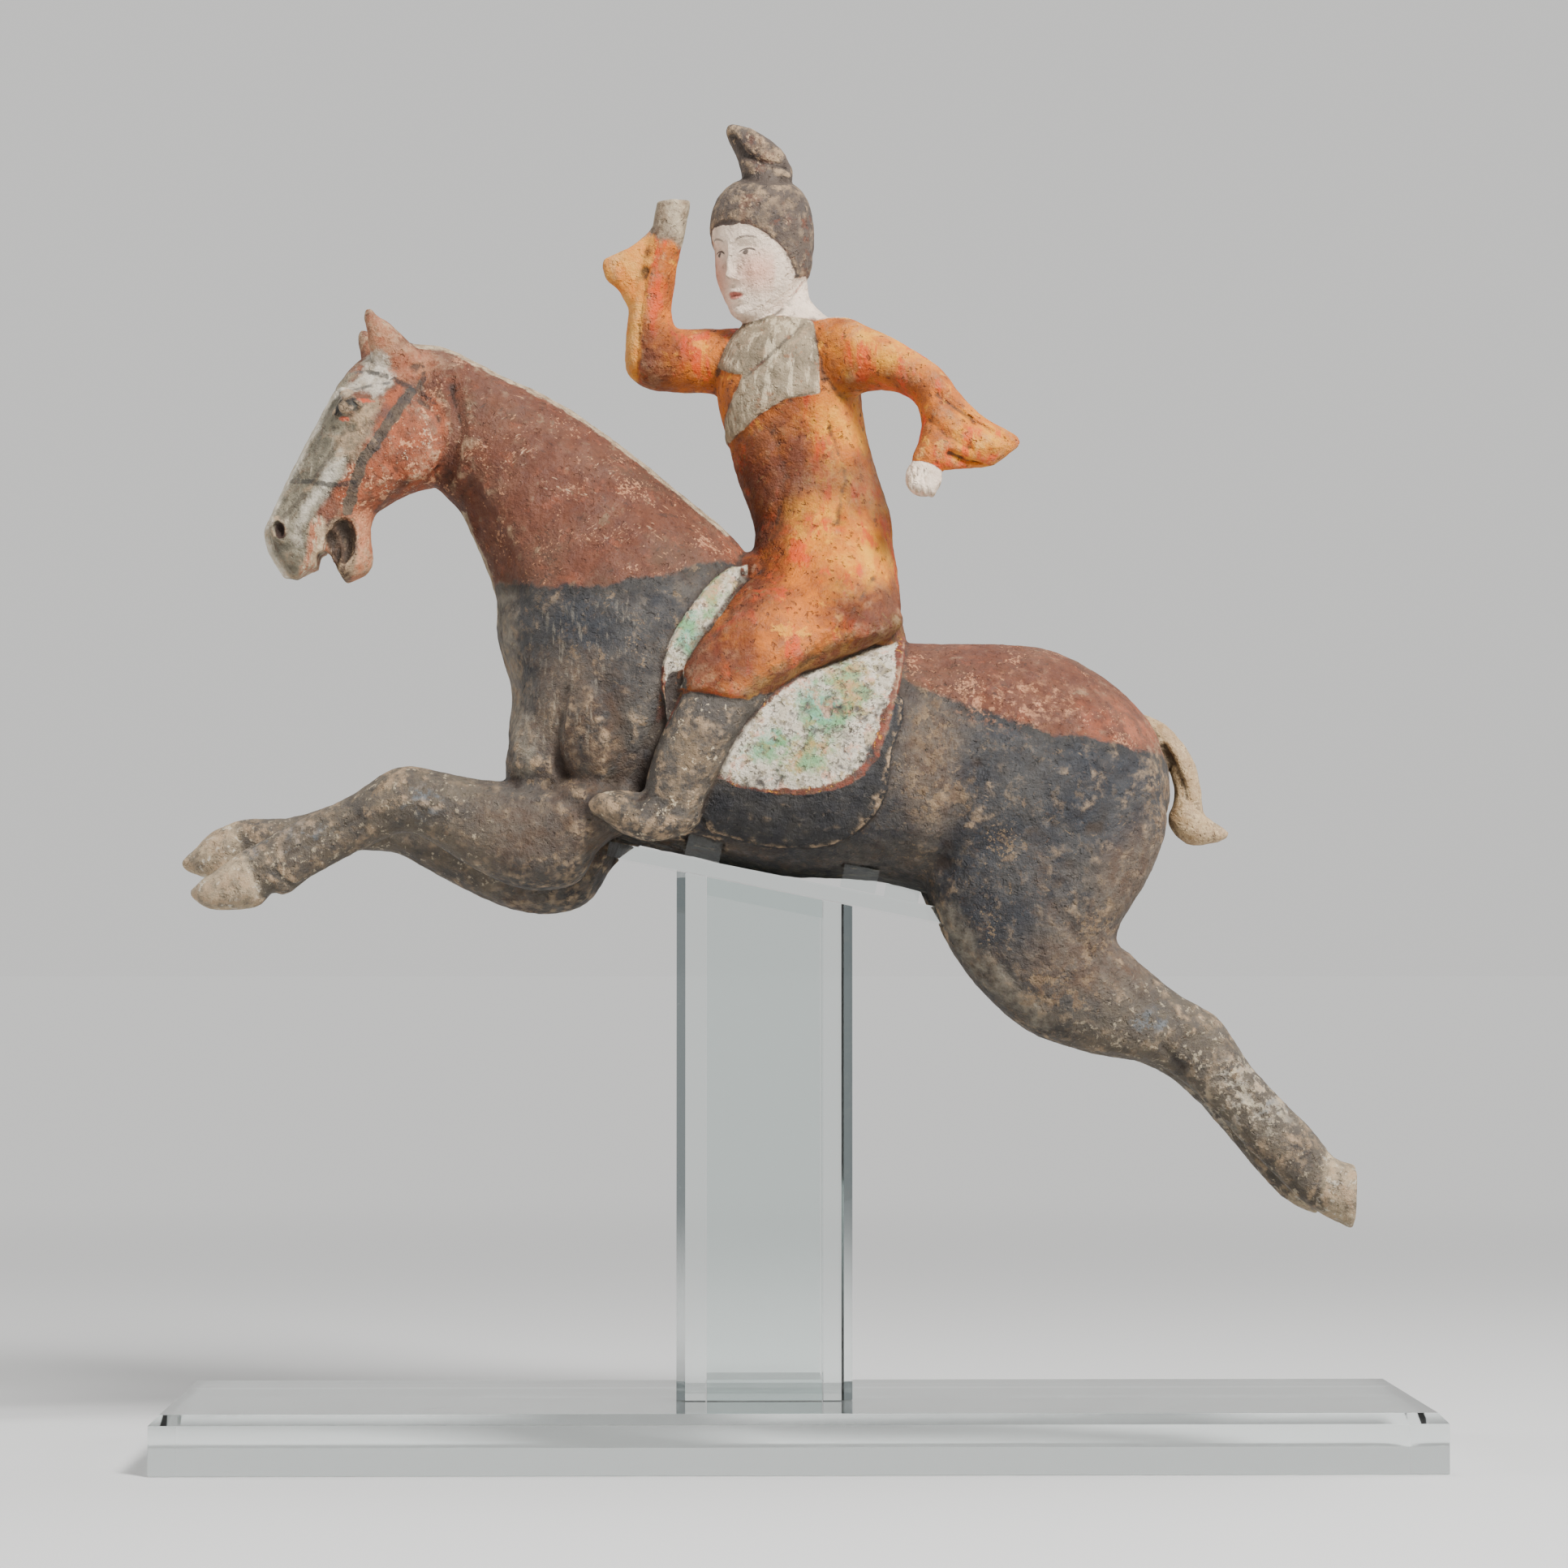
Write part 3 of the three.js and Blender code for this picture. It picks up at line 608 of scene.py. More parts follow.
def treeOf(piece):
    corners = [vertex.co for vertex in piece.data.vertices]
    return BVHTree.FromPolygons(corners, [face.vertices for face in piece.data.polygons])


# Hand work on the fused clay. A stroke is on the near side (-1), the far side (1) or both (0).
# Then come its width, how far it stands out (less than 0 cuts in) and the [x, z] places it follows.

strokes = [
    (-1, 2.6, -1.3, [[-78.6, 261], [-81.5, 247], [-80.8, 234]]),
    (0, 5, -2.2, [[-41, 264], [-47, 252], [-52, 241], [-54.5, 223]]),
    (0, 4, -1.6, [[-95, 231.5], [-85.5, 231], [-74, 221]]),
    (0, 4, -1.6, [[-118, 366], [-115, 352], [-120, 336]]),
    (0, 2.2, -0.7, [[-141.8, 350], [-141, 341], [-134, 334.5]]),
    (0, 3, 0.9, [[-147, 346], [-158, 340], [-167, 331]]),
    (0, 6, -1.4, [[-112, 330], [-101, 308], [-93, 288]]),
    (0, 1.6, 1.1, [[-158, 357], [-155.5, 361.3], [-151.5, 361.8], [-148.3, 358.5]]),
    (0, 1.4, 0.7, [[-157.5, 355.5], [-153, 354.3], [-149, 357]]),
    (0, 2.4, -0.8, [[-148, 352], [-153, 350.5], [-159, 352]]),
    (0, 2.4, -0.6, [[-173, 327], [-170, 316], [-166, 306]]),
    (0, 1.6, 1.4, [[-158.5, 317], [-155.5, 311], [-155.5, 304]]),
    (0, 1.2, 0.9, [[-157.5, 312], [-158.5, 306.5]]),
    (0, 6, -1.8, [[60, 236], [53, 218], [49, 203]]),
    (0, 6, -1.2, [[114, 240], [101, 216], [88, 196]]),
    (0, 3.4, -0.9, [[84, 190], [100, 172], [118, 156]]),
    (0, 2.6, 0.7, [[112, 176], [125, 158], [134, 146]]),
    (0, 2.2, -0.9, [[124, 140.3], [131.2, 133.1]]),
    (0, 1.8, -0.7, [[146, 131], [158, 117]]),
    (0, 1.6, -0.7, [[181.5, 105], [179, 95], [175, 86]]),
    (-1, 1.6, -0.7, [[-187.5, 206], [-184.5, 200], [-182, 192]]),
    (1, 1.6, -0.7, [[-193, 218], [-190.5, 210], [-188, 201]]),
    (-1, 1.8, -0.9, [[-178, 200], [-167, 191.5]]),
    (-1, 3.4, 0.9, [[-122, 222], [-134, 224], [-146, 219]]),
    (-1, 1.6, -0.6, [[-148, 219], [-160, 212], [-172, 206]]),
    (0, 2.2, -1.3, [[126.7, 243], [131, 235], [134.5, 226]]),
    (-1, 2.2, -1.2, [[43.9, 352.5], [50, 347], [57.5, 342.6]]),
    (-1, 2.4, -1.4, [[47, 361], [60, 352.5], [73.2, 344.5]]),
    (-1, 1.8, -2, [[51, 340.2], [57, 337.6], [63, 336.1]]),
    (-1, 1.5, -0.25, [[2.5, 388], [-10.2, 375.9], [-18, 369]]),
    (-1, 1.6, 0.4, [[4.4, 386], [-8.2, 373.9], [-16, 367]]),
    (-1, 1, -0.4, [[-20.5, 381], [-18.8, 371]]),
    (-1, 1.8, -1.1, [[-51.5, 408], [-54, 390], [-55.4, 372]]),
    (0, 1.8, -0.8, [[-18.5, 439.5], [-10.9, 437], [-2, 438.5]]),
    (-1, 1.8, -1.8, [[-22, 453.5], [-18.5, 447.5], [-12, 444.5], [-3, 443.5]]),
    (-1, 2.4, 0.9, [[-16, 456], [-10, 450.5], [-5, 448]]),
    (-1, 2.2, 0.9, [[-15, 441], [-9, 439.5], [-3, 440]]),
    (1, 1.6, -1, [[-14, 450], [-13, 444], [-10, 438]]),
    (-1, 0.9, -0.8, [[37.6, 337], [38.6, 329]]),
    (-1, 0.9, -0.8, [[40, 336.5], [41, 328]]),
    (-1, 0.9, -0.8, [[42.4, 335.5], [43.4, 327.5]]),
    (-1, 3, -1, [[12, 352], [17, 336], [14, 320]]),
    (-1, 3, -0.8, [[-8, 350], [-4, 335], [-8, 318]]),
    (-1, 3, -1, [[-16, 312], [-20, 296], [-29, 280]]),
    (-1, 3, -1.1, [[26, 300], [16, 283], [2, 268]]),
    (0, 4, 0.8, [[-13, 255.5], [-3, 261.5], [14, 268.5], [31, 275]]),
    (-1, 5, -1.2, [[-66, 262], [-60, 246], [-62, 228]]),
]

# The rider's face: [forward bulge, across, height, reach across, reach up], both halves alike
faceForms = [
    [-1.3, 6.0, 1.4, 3.4, 2.0], [1.2, 6.0, 0.0, 2.4, 1.2], [0.6, 6.2, 5.0, 3.6, 1.2],
    [0.9, 8.6, -6.5, 3.6, 4.4], [0.9, 2.3, -8.9, 1.0, 0.9],
]
faceMiddle = [
    [1.2, 0, 1.5, 1.3, 3.2], [2.3, 0, -3.5, 1.6, 2.8], [3.0, 0, -7.4, 1.7, 1.7],
    [-0.7, 0, -11.2, 1.4, 0.9], [1.2, 0, -13.1, 2.9, 0.8], [1.3, 0, -15.5, 2.3, 0.9],
    [-0.9, 0, -14.3, 3.2, 0.4], [-0.8, 0, -17.7, 3.0, 1.0], [1.4, 0, -20.6, 3.2, 2.2],
]
faceRoom = {"forward": (6, 25), "across": 15, "up": 27, "fade": 5}


def distanceTo(places, path, closed=False):
    path = np.array(path, float)
    ends = np.roll(path, -1, 0) if closed else path[1:]
    best = np.full(len(places), 1e9)
    for start, end in zip(path, ends):
        step = end - start
        t = np.clip((places - start) @ step / (step @ step), 0, 1)
        best = np.minimum(best, np.linalg.norm(places - start - t[:, None] * step, axis=1))
    return best


def insideOf(places, outline):
    # how far inside a closed outline, in millimetres, less than 0 outside it
    outline = np.array(outline, float)
    inside = np.zeros(len(places), bool)
    for (x1, z1), (x2, z2) in zip(outline, np.roll(outline, -1, 0)):
        crosses = (z1 > places[:, 1]) != (z2 > places[:, 1])
        rise = z2 - z1 if z2 != z1 else 1e-9
        inside ^= crosses & (places[:, 0] < (x2 - x1) * (places[:, 1] - z1) / rise + x1)
    return np.where(inside, 1, -1) * distanceTo(places, outline, closed=True)


def readMesh(piece):
    mesh = piece.data
    places = np.empty(len(mesh.vertices) * 3, np.float32)
    normals = np.empty(len(mesh.vertices) * 3, np.float32)
    mesh.vertices.foreach_get("co", places)
    mesh.vertex_normals.foreach_get("vector", normals)
    return places.reshape(-1, 3).astype(float) / mm, normals.reshape(-1, 3).astype(float)


def writeMesh(piece, places):
    piece.data.vertices.foreach_set("co", (places * mm).astype(np.float32).ravel())
    piece.data.update()


strokeReach = {"widths": 2, "pastMiddle": 12, "turningAway": 2}


def workStrokes(places, normals):
    for side, width, depth, path in strokes:
        path = np.array(path)
        flat = places[:, [0, 2]]
        room = strokeReach["widths"] * width
        near = np.all((flat > path.min(0) - room) & (flat < path.max(0) + room), 1)
        sideways = abs(normals[:, 1])
        if side:
            near &= places[:, 1] * side > -strokeReach["pastMiddle"]
            sideways = normals[:, 1] * side
        facing = np.clip(sideways * strokeReach["turningAway"], 0, 1)
        spot = np.flatnonzero(near)
        fall = np.exp(-2 * (distanceTo(flat[spot], path) / width) ** 2) * facing[spot]
        places[spot] += normals[spot] * (depth * fall)[:, None]


def toHeadSpace(places):
    inverse = np.array(headPlace.inverted())
    return places @ inverse[:3, :3].T + inverse[:3, 3] / mm


def workFace(places):
    local = toHeadSpace(places)
    back, front = faceRoom["forward"]
    inRoom = np.all(abs(local[:, 1:]) < (faceRoom["across"], faceRoom["up"]), 1)
    spot = np.flatnonzero(inRoom & (local[:, 0] > back) & (local[:, 0] < front))
    across, height = local[spot, 1], local[spot, 2]
    bulge = np.zeros(len(spot))
    halves = [[form, abs(across)] for form in faceForms] + [[form, across] for form in faceMiddle]
    for (depth, y, z, reachY, reachZ), sideways in halves:
        bulge += depth * np.exp(-((sideways - y) / reachY) ** 2 - ((height - z) / reachZ) ** 2)
    bulge *= np.clip((local[spot, 0] - back) / faceRoom["fade"], 0, 1)
    forward = np.array(headPlace.to_3x3().col[0])
    places[spot] += bulge[:, None] * forward


# The figure stays this far clear of the acrylic that holds it
seat = {
    "x": -6, "z": 198.7, "tilt": 11.3, "length": 118, "depth": 50, "thickness": 5,
    "cleats": [(-27, -1), (27, -1), (-15, 1), (44, 1)],
    "cleat": (12, 3, 8), "gap": 0.35, "deepest": 3, "underCleat": 6,
}


def clearSeat(places):
    slope = math.radians(seat["tilt"])
    gap, deepest = seat["gap"], seat["deepest"]
    dx, dz = places[:, 0] - seat["x"], places[:, 2] - seat["z"]
    along = dx * math.cos(slope) - dz * math.sin(slope)
    above = dx * math.sin(slope) + dz * math.cos(slope)
    over = (abs(along) < seat["length"] / 2 + gap) & (abs(places[:, 1]) < seat["depth"] / 2 + gap)
    sunk = over & (above < gap) & (above > -seat["thickness"] - deepest)
    lift = np.where(sunk, gap - above, 0)
    places[:, 0] += lift * math.sin(slope)
    places[:, 2] += lift * math.cos(slope)
    length, thickness, height = seat["cleat"]
    inner = seat["depth"] / 2 - thickness - gap
    beside = (above < height + gap) & (above > -seat["underCleat"])
    for centre, side in seat["cleats"]:
        outward = places[:, 1] * side
        held = beside & (abs(along - centre) < length / 2 + gap)
        held &= (outward > inner) & (outward < inner + thickness + deepest)
        places[held, 1] = side * inner


figure = {
    "voxel": 0.75, "softening": 2, "triangles": 194000,
    "unevenness": {"lumps": (14, 0.7), "tooling": (4, 0.6)},
}


def buildFigure():
    horseForm = buildHorse()
    trees["horse"] = treeOf(horseForm)
    print("horse shaped")
    pieces = [horseForm, buildSaddle(), buildRobe(), buildCollar(), buildBoots()]
    pieces += [buildHand(), buildRiderHead()]
    print("rider and saddle shaped")
    whole = fuse(joinPieces("paintedFigure", pieces), figure["voxel"], figure["softening"])
    places, normals = readMesh(whole)
    workStrokes(places, normals)
    workFace(places)
    writeMesh(whole, places)
    for name, (size, strength) in figure["unevenness"].items():
        lumps = bpy.data.textures.new(name, "CLOUDS")
        lumps.noise_scale = size * mm
        uneven = whole.modifiers.new(name, "DISPLACE")
        uneven.texture = lumps
        uneven.strength = strength * mm
    thin = whole.modifiers.new("thin", "DECIMATE")
    thin.ratio = figure["triangles"] / (2 * len(whole.data.polygons))
    selectOnly(whole)
    for name in list(figure["unevenness"]) + ["thin"]:
        bpy.ops.object.modifier_apply(modifier=name)
    places, _ = readMesh(whole)
    clearSeat(places)
    writeMesh(whole, places)
    bpy.ops.object.shade_smooth()
    print("figure worked,", len(whole.data.polygons), "faces")
    return whole


# Where each paint lies, as distances in millimetres that the material reads

zones = {
    "coatLine": [
        [-140, 299], [-101, 299], [-94, 298.2], [-77.6, 296.2], [-61.2, 296.8], [-44.7, 300.9],
        [-31, 305], [-22.8, 305], [0, 290], [34, 267.5], [43, 261.8], [54.2, 257.7],
        [64.1, 253.6], [75.3, 250.6], [87.6, 245.9], [99.6, 245.1], [110, 242.4], [135, 238],
    ],
    "outlines": {
        "frontFace": [
            [-150, 372], [-160, 370], [-166, 364], [-171, 356], [-179, 341], [-187, 322],
            [-189, 312], [-187, 302], [-178, 295], [-170.5, 299], [-168, 305],
            [-166.8, 313.2], [-165.6, 320.2], [-162.1, 326.1], [-157.5, 331.9], [-154, 336.6],
            [-152.8, 342.4], [-153.5, 352], [-154, 358], [-156.9, 365],
        ],
        # sideFace is white paint with a painted highlight along the facial crest
        "sideFace": [
            [-156.5, 345], [-153.5, 341.5], [-155, 336], [-159, 331], [-163.5, 325.5],
            [-167.5, 319.5], [-169.5, 312.5], [-172.5, 314.5], [-172, 320.5], [-168, 327.5],
            [-162.5, 336],
        ],
        # muzzleEdge is white paint with a painted highlight along the muzzle's front edge
        "muzzleEdge": [
            [-185, 320], [-190, 322], [-192, 308], [-180, 290], [-170, 296], [-179, 300], [-183.5, 309],
        ],
        "browPatch": [
            [-151.6, 368.7], [-149, 375], [-146, 378.6], [-140.5, 377.6], [-138.8, 372.7],
            [-137.6, 369.2], [-139.9, 365.2], [-142.3, 362.8], [-149.3, 364.2], [-155.1, 362.4],
            [-159, 363], [-156.9, 367],
        ],
        "underEye": [
            [-155, 351.7], [-150.5, 358.7], [-145.8, 361], [-142.3, 362.2], [-145.2, 352.9],
            [-150.5, 341.2], [-154.8, 341.4], [-157.3, 346.9],
        ],
        "redStrip": [
            [-143, 361.8], [-137.6, 366.3], [-134.1, 365.2], [-138.8, 357.6], [-144.6, 347.4],
            [-147.8, 347.9],
        ],
        "cheek": [
            [-134.1, 364.6], [-125.9, 364.4], [-120.3, 356.2], [-119.7, 345.9], [-123, 334.4],
            [-130, 329.7], [-137.6, 327.5], [-142.3, 325.2], [-146, 321], [-153, 321],
            [-158, 328], [-156, 336], [-150.7, 341], [-143.1, 351.6], [-137.9, 360.7],
        ],
        "jaw": [
            [-151.5, 322.7], [-144.6, 323.5], [-141, 310.8], [-146, 298], [-154.8, 296.2],
            [-152.5, 302], [-150.5, 309.5], [-150.6, 316.7],
        ],
        "lip": [
            [-166.8, 318.8], [-161, 320.8], [-160, 310.8], [-161.7, 303.2], [-168, 297.5],
            [-170.7, 300.7], [-167.3, 309.2],
        ],
        "mouthHole": [
            [-161, 319.6], [-156.9, 321], [-152.8, 319], [-150.5, 314.3], [-150.7, 307.3],
            [-152.8, 300.3], [-155.7, 300], [-158.4, 306.3], [-160.4, 310.8], [-161.4, 314.9],
        ],
        "cuffFlap": [
            [-69.6, 412], [-60.6, 418.5], [-50, 421], [-49, 414.6], [-51.8, 398.8],
            [-54.5, 372.5], [-58, 363.5], [-61.8, 372.5], [-59.4, 395.3], [-64.3, 402.3],
        ],
    },
    "clothWhite": [
        [
            [-20, 315], [-27.2, 305.2], [-34.1, 296.5], [-41.2, 283.4], [-44.7, 273],
            [-43.9, 266.2], [-41.2, 261.6], [-30, 262], [-8, 285], [-2, 316],
        ],
        [
            [34.5, 312], [33, 290], [20, 276], [4.2, 266.9], [-6.2, 259], [-16.9, 248.6],
            [-22.9, 240.7], [-27.6, 236], [-24.4, 232.1], [-13.3, 228.9], [-0.2, 228.6],
            [9.4, 229.9], [17.6, 233.4], [23.3, 241.5], [27.7, 253.8], [32.5, 270],
        ],
    ],
    "hooves": [
        [-1, [[-186.5, 205.5], [-183, 194], [-182, 184], [-212, 184], [-214, 200], [-196, 208]]],
        [1, [[-195, 221], [-189, 199], [-192, 192], [-220, 192], [-220, 212], [-203, 222]]],
        [-1, [[181, 108], [178, 92], [175, 74], [200, 74], [200, 108]]],
        [1, [[175, 107], [173, 92], [171, 76], [196, 76], [196, 107]]],
    ],
    "legs": [
        [0, [[-108, 250], [-106, 185], [-160, 180], [-230, 180], [-230, 250]]],
        [0, [[140, 175], [92, 150], [88, 120], [160, 60], [210, 60], [200, 130]]],
    ],
    "lines": {
        "bridle": [
            [[-147, 371.6], [-139.9, 369.8], [-132.9, 366.3], [-127.1, 363.4], [-124.2, 360.5]],
            [[-128.3, 373.3], [-127.7, 369.2], [-130.6, 364.6]],
            [[-173.2, 334.2], [-168, 333.6], [-164.5, 333], [-157.5, 331.9], [-150, 333]],
        ],
        "strap": [
            [[-131.8, 364.6], [-135.9, 358.7], [-141.1, 350.6], [-147.5, 341.2]],
            [[-148.7, 338.9], [-151, 331.9], [-153.4, 323.7]],
        ],
        # the facial line is a painted shadow along the groove beside the facial crest
        "facialLine": [[[-155, 350], [-159, 343], [-164.6, 334.5], [-171, 326], [-176.9, 320.3]]],
        "crest": [
            [
                [-130, 383], [-120, 381.5], [-104, 373.5], [-85, 364.5],
                [-69, 354.5], [-52, 341.5], [-36, 328.5], [-24, 318],
            ],
            [[-115, 322], [-112, 313], [-107, 302], [-105, 292], [-105, 275]],
        ],
        "collarLines": [[[2.5, 388], [-10.2, 375.9], [-18, 369]]],
        # a painted highlight along the profile of the horse's face
        "faceRim": [[
            [-160, 364.5], [-168, 349], [-175, 335], [-181, 322], [-183, 316], [-181, 309], [-176, 301.5],
        ]],
        "horseEye": [[[-155.2, 358.6], [-151.9, 359.2]]],
        "pupil": [[[-153.6, 358.9], [-153.2, 358.9]]],
        "lid": [[[-158, 357], [-155.7, 360.8], [-152, 361.6], [-148.6, 359.2]]],
        "eyeRed": [[[-156, 355], [-153.5, 354.6]], [[-150, 360.9], [-144, 361.4]]],
        "browLines": [
            [[-151.5, 371.8], [-141, 370.6]],
            [[-156.5, 363.6], [-146, 366.5], [-139.5, 367.6]],
        ],
        "horseNostril": [[[-176.6, 317.4], [-176.2, 315.4]]],
        # the hems, where the robe meets the boots and the cloth, are drawn darker
        "hem": [[[-40.3, 260.3], [-30.8, 259], [-22, 256.5], [-13.3, 256.8], [-8.9, 259]]],
        "rearHem": [[[-13, 259], [-5.5, 264.4], [12.6, 272], [28, 278.3], [36, 283]]],
        # a painted highlight along the front of the neck and chest and the front of the hind thigh
        "paleEdges": [
            [[-104, 312], [-100, 295], [-97, 262], [-92, 236]], [[50, 186], [62, 168], [83, 150]],
        ],
    },
    # ovals as [x, z, reach along, reach up, side]
    "ovals": {
        "losses": [
            [46.5, 227, 11, 9, -1], [45, 247, 6, 12, -1],
            [101.6, 179.5, 8, 8, -1], [88, 160, 12, 9, -1], [60, 240, 12, 8, 1],
            [-60, 262, 14, 10, 1], [96, 205, 10, 12, 1], [-100, 262, 6, 14, 0], [124, 226, 5, 14, 0],
        ],
        "fadedRump": [[74, 257, 19, 8, -1], [60, 262, 16, 8, 1]],
        "redRump": [[112, 250, 14, 9, 0], [-22, 312, 8, 6, 0]],
        "ears": [[-143, 384, 6, 9, 0], [-133, 374, 9, 6, 0]],
        "neckScrapes": [
            [-104, 346, 14, 9, 0], [-74, 334, 12, 7, 0],
            [-60, 318, 10, 6, 0], [-92, 318, 10, 8, 1],
        ],
        "paleCannon": [[155, 124.5, 14, 12, -1], [150, 124, 13, 11, 1]],
        "blueGrey": [
            [-126.6, 223, 6, 5, -1], [-170, 212, 8, 4, -1], [-185.4, 203.8, 4, 4, -1],
            [-140, 226, 5, 5, 1], [120, 150, 5, 4, 0], [-8, 219, 14, 5, -1],
        ],
        "chest": [[-80, 262, 16, 24, 0], [-66, 282, 22, 10, -1]],
        "greenCloth": [[9.7, 253.8, 8, 9, 0], [-9, 242, 6, 4, 0], [-36, 282, 3, 9, 0]],
        "oliveCloth": [[17, 262, 7, 9, 0], [2, 238, 9, 5, 0], [-28, 298, 4, 8, 0]],
        "robeStain": [
            [25, 332, 11, 13, -1], [12, 334, 9, 9, -1], [20, 366, 9, 4, -1],
            [0, 340, 14, 12, 1],
        ],
        # brown stains on the robe, with painted shade at the waist and under the arm
        "robeBrown": [
            [-4, 342, 8, 16, -1], [-13, 326, 8, 22, 0], [-19, 302, 8, 16, 0], [28, 289, 13, 8, 0],
            [-30, 272, 14, 9, -1], [20, 330, 12, 20, 1], [-50, 378, 7, 8, 0],
        ],
        # ochre paint with a painted highlight on the belly and chest
        "robeLight": [
            [17, 354, 11, 7, -1], [22, 306, 11, 15, -1], [8, 322, 13, 10, -1], [30, 378, 12, 6, -1],
            [62, 345, 10, 8, -1], [5, 312, 16, 14, 1],
        ],
        "charcoal": [
            [-76, 286, 30, 13, 0], [89, 232, 34, 26, 0], [-5, 216, 34, 10, 0], [63, 196, 18, 24, 0],
        ],
        "taupe": [
            [-74, 240, 14, 30, 0], [45, 240, 10, 30, 0], [106, 170, 26, 13, 0], [113, 200, 11, 17, 0],
            [-98, 214, 20, 12, 0],
        ],
        "bootWorn": [[-36, 232, 8, 14, 0], [-62, 222, 10, 6, 0]],
        # painted shade on the chest, shoulder and flanks
        "umberZone": [
            [-68, 243, 11, 24, 0], [-52, 206, 16, 8, 0],
            [72, 262, 8, 5, 0], [60, 205, 10, 14, 1],
        ],
    },
    # the broken forearm above a slanting line, and the neck above the collar
    "stump": {"x": -44, "z": 418, "slope": 0.4, "before": -30},
    "bareNeck": {"z": 390, "reach": 30},
    # the skin stays this far behind the hair above a height of the head
    "hairline": {"up": 10, "behind": 4},
    "tailReach": 1.2,
    # on the skin the hollow field, with its dirt and painted shade, is made weaker by skinHollows
    "hollowRounds": 5, "skinHollows": 0.35,
}


farAway = 20.0  # no distance to a zone's edge is kept beyond this


def ellipses(places, shapes):
    best = np.full(len(places), -farAway)
    for x, z, reachX, reachZ, side in shapes:
        out = np.hypot((places[:, 0] - x) / reachX, (places[:, 2] - z) / reachZ)
        inside = (1 - out) * min(reachX, reachZ)
        if side:
            inside += 1.5 * np.minimum(places[:, 1] * side, 0)
        best = np.maximum(best, inside)
    return best


def linesOn(flat, lines):
    return np.min([distanceTo(flat, line) for line in lines], 0)


def hollowness(piece, places, normals):
    # how far each vertex lies below the surface round it, in millimetres
    edges = np.empty(len(piece.data.edges) * 2, int)
    piece.data.edges.foreach_get("vertices", edges)
    first, second = edges.reshape(-1, 2).T
    count = np.bincount(edges, minlength=len(places))[:, None]
    smooth = places.copy()
    for _ in range(zones["hollowRounds"]):
        total = np.zeros_like(smooth)
        for axis in range(3):
            total[:, axis] += np.bincount(first, smooth[second, axis], len(places))
            total[:, axis] += np.bincount(second, smooth[first, axis], len(places))
        smooth = total / np.maximum(count, 1)
    return np.einsum("ij,ij->i", smooth - places, normals)


def addField(piece, name, values):
    field = piece.data.attributes.new(name, "FLOAT", "POINT")
    field.data.foreach_set("value", np.clip(values, -farAway, farAway).astype(np.float32))


def markPaint(piece):
    places, normals = readMesh(piece)
    flat = places[:, [0, 2]]
    owned = {}
    for name, tree in trees.items():
        found = [tree.find_nearest(Vector(spot) * mm)[3] for spot in places]
        owned[name] = np.array(found) / mm
    horseOnly = owned.pop("horse")
    addField(piece, "tail", zones["tailReach"] - owned.pop("tail"))
    onHead = toHeadSpace(places)
    hairline = zones["hairline"]
    owned["skin"] += np.where(onHead[:, 2] > hairline["up"], hairline["behind"], 0)
    for name in owned:
        others = [owned[other] for other in owned if other != name] + [horseOnly]
        addField(piece, name, np.min(others, 0) - owned[name])
    onSkin = np.minimum(owned["hair"], owned["robe"]) - owned["skin"]
    lineX, lineZ = np.array(zones["coatLine"]).T
    addField(piece, "coat", places[:, 2] - np.interp(places[:, 0], lineX, lineZ))
    for name, outline in zones["outlines"].items():
        addField(piece, name, insideOf(flat, rounded(outline, 3)))
    white = [insideOf(flat, rounded(outline, 3)) for outline in zones["clothWhite"]]
    addField(piece, "clothWhite", np.max(white, 0))
    for name in ("hooves", "legs"):
        sided = [
            np.where(places[:, 1] * side >= 0, insideOf(flat, outline), -farAway)
            for side, outline in zones[name]
        ]
        addField(piece, name, np.max(sided, 0))
    for name, lines in zones["lines"].items():
        addField(piece, name, linesOn(flat, lines))
    for name, shapes in zones["ovals"].items():
        addField(piece, name, ellipses(places, shapes))
    x, _, z = places.T
    stump = zones["stump"]
    above = z - stump["z"] + stump["slope"] * (x - stump["x"])
    addField(piece, "stump", np.where(x < stump["before"], above, -farAway))
    neck = zones["bareNeck"]
    addField(piece, "bareNeck", np.where(abs(x) < neck["reach"], z - neck["z"], -farAway))
    # the hollow field gives rubbed edges, dirt and painted shade in the material, weaker on the skin
    softer = np.where(onSkin > 0, zones["skinHollows"], 1)
    addField(piece, "hollow", hollowness(piece, places, normals) * softer)
    head = piece.data.attributes.new("headSpace", "FLOAT_VECTOR", "POINT")
    head.data.foreach_set("vector", onHead.astype(np.float32).ravel())
    print("paint marked")


# Paint. Colours are as the eye sees them, 0 to 255.

